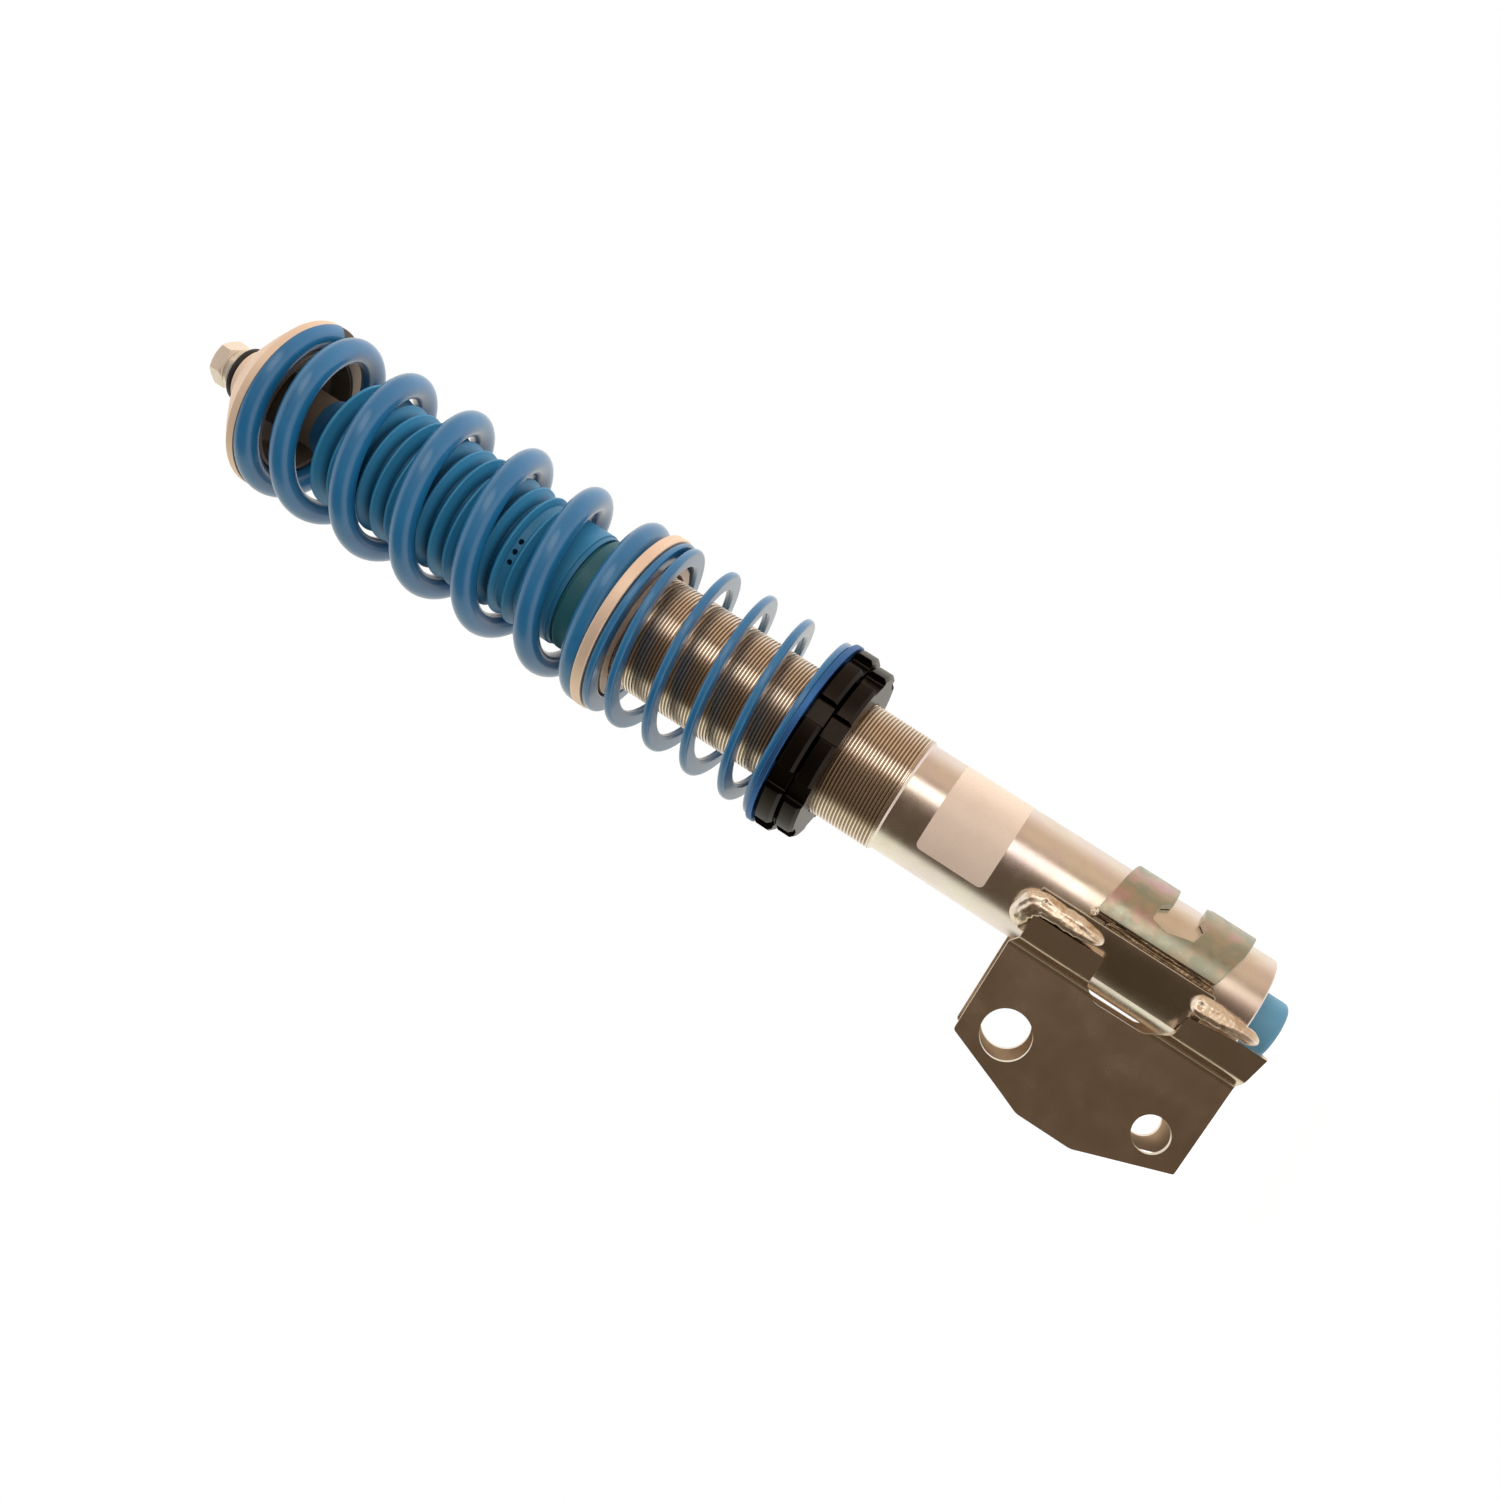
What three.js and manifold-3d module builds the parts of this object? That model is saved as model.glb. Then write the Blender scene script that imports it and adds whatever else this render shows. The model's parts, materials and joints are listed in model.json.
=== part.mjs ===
// A front suspension strut with an adjustable spring perch.
//
// An upside-down damper slides in a threaded outer tube. Its rod is bolted to the tube's base, and its
// cylinder comes out of the top and carries the spring plate. Two knuckle ears and a brake hose bracket
// are welded to the tube. A collar and a lock ring on the tube's thread hold the perch, and a flat-wire
// helper spring, a divider and the round-wire main spring stand on the perch.
//
// Millimetres. +Z runs up the strut's axis, the origin is the centre of the end cap's lower face, +X
// points to the knuckle ears and +Y to the side of the near ear.
import * as THREE from "three";
import { mergeVertices } from "three/addons/utils/BufferGeometryUtils.js";
import Module from "manifold-3d";

const wasm = await Module();
wasm.setup();

// ---- Driving dimensions -------------------------------------------------------------------------

const TURN = 2 * Math.PI;
const ROUND = 40; // facets of a large round piece
const SMALL_ROUND = 24; // facets of a small round piece
const INNER_ROUND = 16; // facets of a piece that runs on the rod
const GAP = 0.3; // left between two faces that touch on the real strut
const RUN = 0.3; // radial clearance of a fit that slides or turns
const WELD_BITE = 0.25; // least gap between a weld bead and the pieces it joins

// How far the pieces move
const DAMPER_TRAVEL = 80;

// End cap over the rod's nut
const CAP_R = 12.5;
const CAP_HEIGHT = 13.1;
const CAP_WALL = 1.5;
const CAP_EDGE = 2.2; // rounding of the lower edge

// Outer tube
const TUBE_R = 24.5;
const TUBE_WALL = 2.9;
const TUBE_BORE_R = TUBE_R - TUBE_WALL;
const TUBE_TOP = 305;
const THREAD_STEP = 1.4; // the thread's crest stands this far outside the smooth tube
const THREAD_R = TUBE_R + THREAD_STEP; // M52
const THREAD_START = 169.4;
const THREAD_RELIEF = 1.6; // height of the cone between the smooth tube and the thread

// Base of the tube, and the rod bolted to it
const BASE_HEIGHT = 26;
const ROD_R = 7;
const ROD_STUD_R = 5;
const ROD_WASHER_R = 9;
const ROD_WASHER_T = 1.5;
const ROD_NUT_ACROSS = 15;
const ROD_NUT_HEIGHT = 8;
const ROD_TIP = 2.2; // height of the rod's lower end
const BUMP_STOP_R = 16;
const BUMP_STOP_WAIST = 12.5;

// Damper cylinder, and what it holds
const BUSH_WALL = 1.6; // room between the cylinder and the tube's bore
const CYLINDER_R = TUBE_BORE_R - BUSH_WALL;
const CYLINDER_WALL = 2;
const CYLINDER_BORE_R = CYLINDER_R - CYLINDER_WALL;
const CYLINDER_BOTTOM = 150;
const CYLINDER_PROUD = 148.1; // the cylinder stands this far out of the tube at rest
const CYLINDER_TOP = TUBE_TOP + CYLINDER_PROUD;
const ROD_GUIDE_INSET = 1;
const ROD_GUIDE_HEIGHT = 20;
const PISTON_HEIGHT = 18;
const PISTON_NUT_HEIGHT = 8;
const FLOATING_PISTON_Z = TUBE_TOP + 15;
const FLOATING_PISTON_HEIGHT = 15;
const PLUG_HEIGHT = 22;
const NECK_R = 12.5;
const STUD_R = 6;

// Guide bushes and the seal cap on top of the tube
const BUSH_HEIGHT = 30;
const LOWER_BUSH_Z = CYLINDER_BOTTOM + 8;
const SEAL_CAP_R = THREAD_R + 0.4;
const SEAL_CAP_TOP = TUBE_TOP + 23;
const SEAL_CAP_REGISTER = 5; // depth of its register in the tube's bore
const SEAL_CAP_SPIGOT_R = SEAL_CAP_R - 1.7; // the boot sits on this
const SEAL_CAP_SPIGOT_TOP = SEAL_CAP_TOP + 16;
const WIPER_Z = TUBE_TOP + 11;
const WIPER_HEIGHT = 6;
const WIPER_GROOVE_R = CYLINDER_R + 3;
const SEAL_CAP_ROUND = 32; // facets

// Boot
const BOOT_BOTTOM = SEAL_CAP_TOP + 1.2;
const BOOT_SLEEVE_R = SEAL_CAP_SPIGOT_R + 2.2;
const BOOT_FIRST_RIB = SEAL_CAP_TOP + 24;
const BOOT_RIBS = 13;
const BOOT_RIB_R = BOOT_SLEEVE_R + 3;
const BOOT_VALLEY_R = BOOT_SLEEVE_R - 2.6;
const BOOT_WALL = 1.4;
const BOOT_TOP = CYLINDER_TOP + 3;
const BOOT_HEAD = 1.4; // height of the top above the last valley
const BOOT_RIB_PITCH = (BOOT_TOP - BOOT_HEAD - BOOT_FIRST_RIB) / BOOT_RIBS;

// Lock ring and adjusting collar, each with eight lugs
const LUGS = 8;
const LOCK_RING_BOTTOM = 197.5;
const LOCK_RING_TOP = LOCK_RING_BOTTOM + 8.5;
const LOCK_RING_R = THREAD_R + 13.6;
const LOCK_RING_FLOOR_R = LOCK_RING_R - 3.5;
const LOCK_RING_LUG_AT = 79; // direction of one lug's middle, degrees from +X
const COLLAR_HEIGHT = 8.4;
const COLLAR_R = LOCK_RING_R + 2.5;
const COLLAR_FLOOR_R = COLLAR_R - 4;
const COLLAR_LUG_AT = 83.5;
const NOTCH_WIDTH = 10; // at the floor of a notch
const LUG_CHAMFER = 1.5;
const LUG_ROUND = 48; // facets of a ring with lugs

// Perch, helper spring, divider
const PERCH_RIM = 5.5; // the perch reaches this far outside the helper's mean radius
const PERCH_FLANGE_T = 1.8;
const PERCH_LIP = 1;
const PERCH_SPIGOT_H = 4;
const HELPER_WIRE_WIDTH = 8;
const HELPER_WIRE_T = 3.6;
const HELPER_EDGE = 1.1; // chamfer of the flat wire's corners
const HELPER_TURNS = 6.08;
const HELPER_START = 180; // direction of the lower tip, degrees from +X
const HELPER_TIP_T = 0.4; // a tip's thickness as a share of the wire's
const HELPER_TAPER = 0.25; // turns over which a tip thins
const DIVIDER_DROP = 3.1; // the divider's lower face hangs this far below the tube's top
const DIVIDER_BOTTOM = TUBE_TOP - DIVIDER_DROP;
const DIVIDER_RIM = 5.6; // the divider reaches this far outside the main spring's mean radius
const DIVIDER_T = 5;
const DIVIDER_BORE_R = THREAD_R + 1.5;
const DIVIDER_SPIGOT_H = 4;

// Main spring
const MAIN_WIRE_R = 5.5;
const MAIN_ROOM = 0.7; // between the boot's ribs and the spring
const MAIN_MEAN_R = BOOT_RIB_R + MAIN_ROOM + MAIN_WIRE_R;
const HELPER_MEAN_R = MAIN_MEAN_R + 1;
const PERCH_R = HELPER_MEAN_R + PERCH_RIM;
const DIVIDER_R = MAIN_MEAN_R + DIVIDER_RIM;
const MAIN_TURNS = 6.72;
const MAIN_START = -90;
const MAIN_CLOSED_PITCH = 11.3;
const MAIN_GROUND = 1.3; // how far a tip's centre lies beyond its ground face
const SPIGOT_CLEARANCE = 0.9; // between a spring and the spigot that centres it

// Top plate, and the stack that is bolted on it
const PLATE_SEAT = BOOT_TOP + 32.5; // height of the face that the main spring presses on
const PLATE_R = MAIN_MEAN_R + 4.9;
const PLATE_RIM_T = 4.2;
const PLATE_HUB_R = 13.5;
const PLATE_HEIGHT = 28.4; // of the hub's upper face above the seat
const PLATE_TOP = PLATE_SEAT + PLATE_HEIGHT;
const PLATE_HUB_T = 12;
const PLATE_PILOT_DEPTH = 4;
const PLATE_WALL = 2.4;
const SPACER_R = 13;
const SPACER_T = 3.2;
const WASHER_R = 11;
const WASHER_T = 2.2;
const NUT_ACROSS = 19;
const NUT_HEIGHT = 9.8;
const STUD_PROUD = 1; // the stud's end stands this far out of the nut

// Knuckle ears: flat plates that step outwards to two welding flanges beside the tube
const EAR_T = 4;
const EAR_SPACE = 30.2; // between the inner faces of the two ears
const EAR_BEND_X = 24.2;
const FLANGE_BEND = [20.8, TUBE_R + 2.6]; // outer corner of the step, as x and y
const FLANGE_TIP = [9.0, TUBE_R + 5.7];
const EAR_HOLES = [
  { x: 55.7, z: 84.4, r: 10.25 },
  { x: 56.5, z: 20.0, r: 7.5 },
];
// Outline of an ear in side view: x, z and corner radius
const EAR_OUTLINE = [
  [10.2, 100.6, 0.8],
  [21.0, 100.6, 2],
  [24.8, 102.9, 1],
  [65.05, 102.2, 1.5],
  [75.0, 75.0, 6],
  [78.7, 65.4, 8],
  [78.3, 41.6, 9],
  [64.4, 5.4, 1],
  [24.1, 4.7, 2],
  [7.6, 2.3, 0.8],
  [11.4, 33.5, 1],
  [20.6, 34.6, 4],
  [26.4, 42.1, 6],
  [26.7, 63.8, 6],
  [21.9, 70.2, 3],
  [10.2, 70.4, 0.8],
];

// Doubler sheets between the tube and the upper flanges
const DOUBLER_T = 3.1;
const DOUBLER_FROM = 41; // degrees from +X towards each ear
const DOUBLER_TO = 91;
const DOUBLER_BOTTOM = 29;
const DOUBLER_TOP = 103.6;

// Weld beads that join the flanges to the tube: a bead's height, width and end radius
const UPPER_WELD = [71.6, 104.5];
const LOWER_WELD = [10.6, 38.4];
const WELD_WIDTH = 8.2;
const WELD_CROWN = 1.6;
const WELD_CAP_TOP = 108.6; // the upper bead turns over the flange's upper end
const WELD_CAP_FROM = 46;

// Brake hose bracket: a saddle with two arms
const BRACKET_T = 2.8;
const BRACKET_FROM = 98;
const BRACKET_TO = 178;
const BRACKET_ROOT = [31.4, 82.4]; // lower and upper edge at the welded end
const BRACKET_END = [24, 76]; // lower and upper edge at the free end
const BRACKET_THROAT = { from: 114, to: 138, low: 44.4, high: 62.6 };
const BRACKET_MOUTH = { low: 46.4, high: 57.8 };

// ---- Shape helpers ------------------------------------------------------------------------------

const radians = (degrees) => THREE.MathUtils.degToRad(degrees);

// A closed geometry as a solid with its faces pointing out.
function solidOf(geometry) {
  const bare = geometry.clone();
  bare.deleteAttribute("normal");
  bare.deleteAttribute("uv");
  const merged = mergeVertices(bare, 1e-4);
  const all = merged.index.array;
  const corners = [];
  for (let i = 0; i < all.length; i += 3) {
    const [a, b, c] = [all[i], all[i + 1], all[i + 2]];
    if (a !== b && b !== c && c !== a) corners.push(a, b, c);
  }
  const make = (triVerts) =>
    new wasm.Manifold(
      new wasm.Mesh({
        numProp: 3,
        vertProperties: merged.attributes.position.array,
        triVerts: new Uint32Array(triVerts),
      }),
    );
  const solid = make(corners);
  return solid.volume() > 0 ? solid : make(corners.reverse());
}

// A solid as a geometry.
function geometryOf(solid) {
  const mesh = solid.getMesh();
  const geometry = new THREE.BufferGeometry();
  geometry.setAttribute(
    "position",
    new THREE.BufferAttribute(mesh.vertProperties, 3),
  );
  geometry.setIndex(new THREE.BufferAttribute(mesh.triVerts, 1));
  geometry.computeVertexNormals();
  return geometry;
}

// A solid's mirror image across the plane y = 0.
const mirrored = (solid) => solidOf(geometryOf(solid).scale(1, -1, 1));

// A closed outline of [radius, height] points turned about Z.
function turned(outline, facets = ROUND) {
  const points = [...outline, outline[0]].map(([r, z]) => new THREE.Vector2(r, z));
  return solidOf(new THREE.LatheGeometry(points, facets).rotateX(Math.PI / 2));
}

// A plain ring, or a disc if inner is 0.
function ring(inner, outer, bottom, top, facets = ROUND) {
  return turned(
    [
      [inner, bottom],
      [outer, bottom],
      [outer, top],
      [inner, top],
    ],
    facets,
  );
}

// A shape through corners [x, y, radius], each rounded by an arc that touches both its edges.
function roundedShape(corners) {
  const shape = new THREE.Shape();
  const point = ([x, y]) => new THREE.Vector2(x, y);
  corners.forEach((corner, i) => {
    const here = point(corner);
    const radius = corner[2] ?? 0;
    const before = point(corners.at(i - 1)).sub(here).normalize();
    const after = point(corners[(i + 1) % corners.length]).sub(here).normalize();
    const half = Math.acos(before.dot(after)) / 2;
    const start = here.clone().addScaledVector(before, radius / Math.tan(half));
    if (i === 0) shape.moveTo(start.x, start.y);
    else shape.lineTo(start.x, start.y);
    if (radius === 0) return;
    const end = here.clone().addScaledVector(after, radius / Math.tan(half));
    const middle = before.clone().add(after).normalize();
    const centre = here.clone().addScaledVector(middle, radius / Math.sin(half));
    const from = start.sub(centre).angle();
    const to = end.sub(centre).angle();
    shape.absarc(centre.x, centre.y, radius, from, to, before.cross(after) > 0);
  });
  shape.closePath();
  return shape;
}

// A shape drawn in x and y, and extruded along Z.
function prism(shape, bottom, top, curveSegments = 3) {
  const settings = { depth: top - bottom, bevelEnabled: false, curveSegments };
  return solidOf(new THREE.ExtrudeGeometry(shape, settings).translate(0, 0, bottom));
}

// A shape drawn in x and z, and extruded along Y.
function sidePrism(shape, near, far, curveSegments = 3) {
  const settings = { depth: far - near, bevelEnabled: false, curveSegments };
  const geometry = new THREE.ExtrudeGeometry(shape, settings).rotateX(Math.PI / 2);
  return solidOf(geometry.translate(0, far, 0));
}

// Part of a ring between two directions, in degrees from +X.
function sector(inner, outer, from, to, bottom, top, curveSegments = 9) {
  const shape = new THREE.Shape();
  shape.absarc(0, 0, outer, radians(from), radians(to), false);
  shape.absarc(0, 0, inner, radians(to), radians(from), true);
  shape.closePath();
  return prism(shape, bottom, top, curveSegments);
}

// The points of a path moved sideways, to the left of its direction, with mitred corners.
function besidePath(path, distance) {
  const points = path.map(([x, y]) => new THREE.Vector2(x, y));
  const left = (a, b) => {
    const along = b.clone().sub(a).normalize();
    return new THREE.Vector2(-along.y, along.x);
  };
  return points.map((point, i) => {
    const first = i > 0 ? left(points[i - 1], point) : left(point, points[1]);
    const second = i < points.length - 1 ? left(point, points[i + 1]) : first;
    const middle = first.clone().add(second).normalize();
    const moved = point.clone().addScaledVector(middle, distance / middle.dot(first));
    return [moved.x, moved.y];
  });
}

// A hexagon nut with bevelled corners, standing on z = 0.
function hexNut(across, height, boreR) {
  const cornerR = across / Math.sqrt(3);
  const hexagon = new THREE.Shape();
  for (let i = 0; i < 6; i++) {
    const angle = (TURN * i) / 6;
    const place = [cornerR * Math.cos(angle), cornerR * Math.sin(angle)];
    if (i === 0) hexagon.moveTo(...place);
    else hexagon.lineTo(...place);
  }
  hexagon.closePath();
  const faceR = across * 0.48;
  const bevel = (cornerR - faceR) * Math.tan(radians(30));
  const envelope = turned(
    [
      [boreR, 0],
      [faceR, 0],
      [cornerR, bevel],
      [cornerR, height - bevel],
      [faceR, height],
      [boreR, height],
    ],
    SMALL_ROUND,
  );
  return prism(hexagon, 0, height).intersect(envelope);
}

// ---- Springs ------------------------------------------------------------------------------------

// Pitch of a spring's middle turns, so that its ends come out at the given heights.
function openPitch({ turns, closed, ramp, closedPitch, bottom, top }) {
  const ends = closed[0] + closed[1];
  const ramps = ramp[0] + ramp[1];
  const middle = turns - ends - ramps;
  const climbed = closedPitch * (ends + ramps / 2);
  return (top - bottom - climbed) / (middle + ramps / 2);
}

// Height gained from one end of a spring after some turns.
function climb(turns, closed, ramp, closedPitch, pitch) {
  if (turns <= closed) return closedPitch * turns;
  const onRamp = Math.min(turns - closed, ramp);
  const past = Math.max(turns - closed - ramp, 0);
  const bend = ((pitch - closedPitch) * onRamp * onRamp) / (2 * ramp);
  return closedPitch * (closed + onRamp) + bend + pitch * past;
}

// Centre height of a spring's wire after some turns from its lower tip.
function wireHeight(spring, turns) {
  const { closed, ramp, closedPitch } = spring;
  const pitch = openPitch(spring);
  const left = spring.turns - turns;
  return turns < spring.turns / 2
    ? spring.bottom + climb(turns, closed[0], ramp[0], closedPitch, pitch)
    : spring.top - climb(left, closed[1], ramp[1], closedPitch, pitch);
}

// Rings of points along a spring's wire. section(turns) gives the wire's outline there as
// [outwards, upwards] offsets from its centre.
function wireRings(spring, stepsPerTurn, section) {
  const steps = Math.round(spring.turns * stepsPerTurn);
  const rings = [];
  for (let i = 0; i <= steps; i++) {
    const turns = (spring.turns * i) / steps;
    const angle = radians(spring.start) + TURN * turns;
    const out = new THREE.Vector3(Math.cos(angle), Math.sin(angle), 0);
    const delta = 1e-4;
    const rise = wireHeight(spring, turns + delta) - wireHeight(spring, turns - delta);
    const slope = rise / (2 * delta * TURN * spring.meanR);
    const along = new THREE.Vector3(-out.y, out.x, slope).normalize();
    const up = out.clone().cross(along);
    const centre = out.clone().multiplyScalar(spring.meanR);
    centre.z = wireHeight(spring, turns);
    rings.push(
      section(turns).map(([outwards, upwards]) =>
        centre.clone().addScaledVector(out, outwards).addScaledVector(up, upwards),
      ),
    );
  }
  return rings;
}

// One closed tube through rings of points.
function skin(rings) {
  const sides = rings[0].length;
  const corners = [];
  for (let i = 0; i < rings.length - 1; i++) {
    for (let j = 0; j < sides; j++) {
      const a = i * sides + j;
      const b = i * sides + ((j + 1) % sides);
      corners.push(a, b, a + sides, b, b + sides, a + sides);
    }
  }
  const last = (rings.length - 1) * sides;
  for (let j = 1; j < sides - 1; j++) {
    corners.push(0, j + 1, j);
    corners.push(last, last + j, last + j + 1);
  }
  const geometry = new THREE.BufferGeometry().setFromPoints(rings.flat());
  geometry.setIndex(corners);
  return solidOf(geometry);
}

// Least distance between points of the wire that lie three quarters of a turn or more apart.
function leastGap(rings, stepsPerTurn) {
  const apart = Math.round(stepsPerTurn * 0.75);
  let least = Infinity;
  for (let i = 0; i < rings.length - apart; i++) {
    for (let j = i + apart; j < Math.min(rings.length, i + 2 * apart); j++) {
      for (const p of rings[i]) {
        for (const q of rings[j]) least = Math.min(least, p.distanceTo(q));
      }
    }
  }
  return least;
}

const STEPS_PER_TURN = 16;

function mainSpring() {
  const seat = DIVIDER_BOTTOM + DIVIDER_T + GAP;
  const press = PLATE_SEAT - GAP;
  const spring = {
    turns: MAIN_TURNS,
    start: MAIN_START,
    meanR: MAIN_MEAN_R,
    closed: [0.38, 0.52],
    ramp: [0.8, 0.8],
    closedPitch: MAIN_CLOSED_PITCH,
    bottom: seat - MAIN_GROUND,
    top: press + MAIN_GROUND,
  };
  const sides = 8;
  const circle = [...Array(sides).keys()].map((i) => {
    const angle = (TURN * (i + 0.5)) / sides;
    return [MAIN_WIRE_R * Math.cos(angle), MAIN_WIRE_R * Math.sin(angle)];
  });
  const rings = wireRings(spring, STEPS_PER_TURN, () => circle);
  const gap = leastGap(rings, STEPS_PER_TURN);
  console.log("main spring: least gap to itself " + gap.toFixed(2) + " mm");
  const reach = 2 * MAIN_MEAN_R;
  return skin(rings)
    .subtract(ring(0, reach, seat - reach, seat, 8))
    .subtract(ring(0, reach, press, press + reach, 8));
}

function helperSpring() {
  const half = HELPER_WIRE_T / 2;
  const spring = {
    turns: HELPER_TURNS,
    start: HELPER_START,
    meanR: HELPER_MEAN_R,
    closed: [0.72, 0.72],
    ramp: [0.35, 0.35],
    closedPitch: 0,
    bottom: PERCH_SEAT + GAP + half,
    top: DIVIDER_BOTTOM - GAP - half,
  };
  const side = HELPER_WIRE_WIDTH / 2;
  const section = (turns) => {
    const lower = Math.max(0, 1 - turns / HELPER_TAPER);
    const upper = Math.max(0, 1 - (HELPER_TURNS - turns) / HELPER_TAPER);
    const thinned = 2 * half * (1 - HELPER_TIP_T);
    const bottom = -half + upper * thinned;
    const top = half - lower * thinned;
    const edge = Math.min(HELPER_EDGE, (top - bottom) / 3);
    return [
      [side, bottom + edge],
      [side, top - edge],
      [side - edge, top],
      [edge - side, top],
      [-side, top - edge],
      [-side, bottom + edge],
      [edge - side, bottom],
      [side - edge, bottom],
    ];
  };
  const rings = wireRings(spring, STEPS_PER_TURN, section);
  const gap = leastGap(rings, STEPS_PER_TURN);
  console.log("helper spring: least gap to itself " + gap.toFixed(2) + " mm");
  return skin(rings);
}

// ---- Heights and sizes that follow from the driving dimensions ----------------------------------

const TUBE_BOTTOM = CAP_HEIGHT + GAP;
const BASE_TOP = TUBE_BOTTOM + BASE_HEIGHT;
const STOP_TOP = CYLINDER_BOTTOM - DAMPER_TRAVEL - GAP;
const GUIDE_BOTTOM = CYLINDER_BOTTOM + ROD_GUIDE_INSET;
const GUIDE_TOP = GUIDE_BOTTOM + ROD_GUIDE_HEIGHT;
const PISTON_BOTTOM = GUIDE_TOP + GAP;
const PISTON_TOP = PISTON_BOTTOM + PISTON_HEIGHT;
const PISTON_NUT_Z = PISTON_TOP + GAP;
const INNER_R = CYLINDER_BORE_R - RUN; // what fits in the cylinder
const SEAL_CAP_BOTTOM = TUBE_TOP + GAP;
const RING_BORE_R = THREAD_R + RUN; // what runs on the thread
const COLLAR_BOTTOM = LOCK_RING_TOP + GAP;
const COLLAR_TOP = COLLAR_BOTTOM + COLLAR_HEIGHT;
const PERCH_BOTTOM = COLLAR_TOP + GAP;
const PERCH_SEAT = PERCH_BOTTOM + PERCH_FLANGE_T;
const HELPER_INNER_R = HELPER_MEAN_R - HELPER_WIRE_WIDTH / 2;
const MAIN_INNER_R = MAIN_MEAN_R - MAIN_WIRE_R;
const HUB_BOTTOM = PLATE_TOP - PLATE_HUB_T;
const SPACER_BOTTOM = PLATE_TOP + GAP;
const WASHER_BOTTOM = SPACER_BOTTOM + SPACER_T + GAP;
const NUT_BOTTOM = WASHER_BOTTOM + WASHER_T + GAP;
const STUD_TOP = NUT_BOTTOM + NUT_HEIGHT + STUD_PROUD;
const EAR_OUTER_Y = EAR_SPACE / 2 + EAR_T;
const DOUBLER_INNER_R = TUBE_R + GAP;
const DOUBLER_OUTER_R = DOUBLER_INNER_R + DOUBLER_T;

// ---- Tube, base and rod -------------------------------------------------------------------------

function endCap() {
  const inner = CAP_R - CAP_WALL;
  return turned(
    [
      [0, 0],
      [CAP_R - CAP_EDGE, 0],
      [CAP_R - CAP_EDGE * 0.3, CAP_EDGE * 0.3],
      [CAP_R, CAP_EDGE],
      [CAP_R, CAP_HEIGHT],
      [inner, CAP_HEIGHT],
      [inner, CAP_WALL],
      [0, CAP_WALL],
    ],
    SMALL_ROUND,
  );
}

function outerTube() {
  const chamfer = 1;
  return turned([
    [TUBE_BORE_R, TUBE_BOTTOM],
    [TUBE_R - chamfer, TUBE_BOTTOM],
    [TUBE_R, TUBE_BOTTOM + chamfer],
    [TUBE_R, THREAD_START - THREAD_RELIEF],
    [THREAD_R, THREAD_START],
    [THREAD_R, TUBE_TOP - chamfer],
    [THREAD_R - chamfer, TUBE_TOP],
    [TUBE_BORE_R, TUBE_TOP],
  ]);
}

function tubeBase() {
  return ring(ROD_STUD_R + RUN, TUBE_BORE_R - GAP, TUBE_BOTTOM, BASE_TOP, INNER_ROUND);
}

function pistonRod() {
  const shoulder = BASE_TOP + GAP;
  const lead = 1;
  return turned(
    [
      [0, ROD_TIP],
      [ROD_STUD_R - lead, ROD_TIP],
      [ROD_STUD_R, ROD_TIP + lead],
      [ROD_STUD_R, shoulder],
      [ROD_R, shoulder],
      [ROD_R, PISTON_BOTTOM - GAP],
      [ROD_STUD_R, PISTON_BOTTOM - GAP],
      [ROD_STUD_R, PISTON_NUT_Z + PISTON_NUT_HEIGHT + lead],
      [0, PISTON_NUT_Z + PISTON_NUT_HEIGHT + lead],
    ],
    INNER_ROUND,
  );
}

function rodWasher() {
  const top = TUBE_BOTTOM - GAP;
  return ring(ROD_STUD_R + RUN, ROD_WASHER_R, top - ROD_WASHER_T, top, INNER_ROUND);
}

function bumpStop() {
  const bottom = BASE_TOP + GAP;
  const waist = (bottom + STOP_TOP) / 2;
  return turned(
    [
      [ROD_R + RUN, bottom],
      [BUMP_STOP_R, bottom],
      [BUMP_STOP_R, waist - 5],
      [BUMP_STOP_WAIST, waist],
      [BUMP_STOP_R - 1, waist + 5],
      [BUMP_STOP_WAIST, STOP_TOP],
      [ROD_R + RUN, STOP_TOP],
    ],
    INNER_ROUND,
  );
}

function piston() {
  const edge = 1.2;
  return turned(
    [
      [ROD_STUD_R + RUN, PISTON_BOTTOM],
      [INNER_R - edge, PISTON_BOTTOM],
      [INNER_R, PISTON_BOTTOM + edge],
      [INNER_R, PISTON_TOP - edge],
      [INNER_R - edge, PISTON_TOP],
      [ROD_STUD_R + RUN, PISTON_TOP],
    ],
    SMALL_ROUND,
  );
}

// ---- Damper cylinder and what rides with it -----------------------------------------------------

function damperCylinder() {
  return ring(CYLINDER_BORE_R, CYLINDER_R, CYLINDER_BOTTOM, CYLINDER_TOP, SMALL_ROUND);
}

function rodGuide() {
  return ring(ROD_R + RUN, INNER_R, GUIDE_BOTTOM, GUIDE_TOP, INNER_ROUND);
}

function floatingPiston() {
  const cup = 5;
  return turned(
    [
      [0, FLOATING_PISTON_Z + cup],
      [INNER_R - 3, FLOATING_PISTON_Z + cup],
      [INNER_R - 3, FLOATING_PISTON_Z],
      [INNER_R, FLOATING_PISTON_Z],
      [INNER_R, FLOATING_PISTON_Z + FLOATING_PISTON_HEIGHT],
      [0, FLOATING_PISTON_Z + FLOATING_PISTON_HEIGHT],
    ],
    SMALL_ROUND,
  );
}

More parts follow.
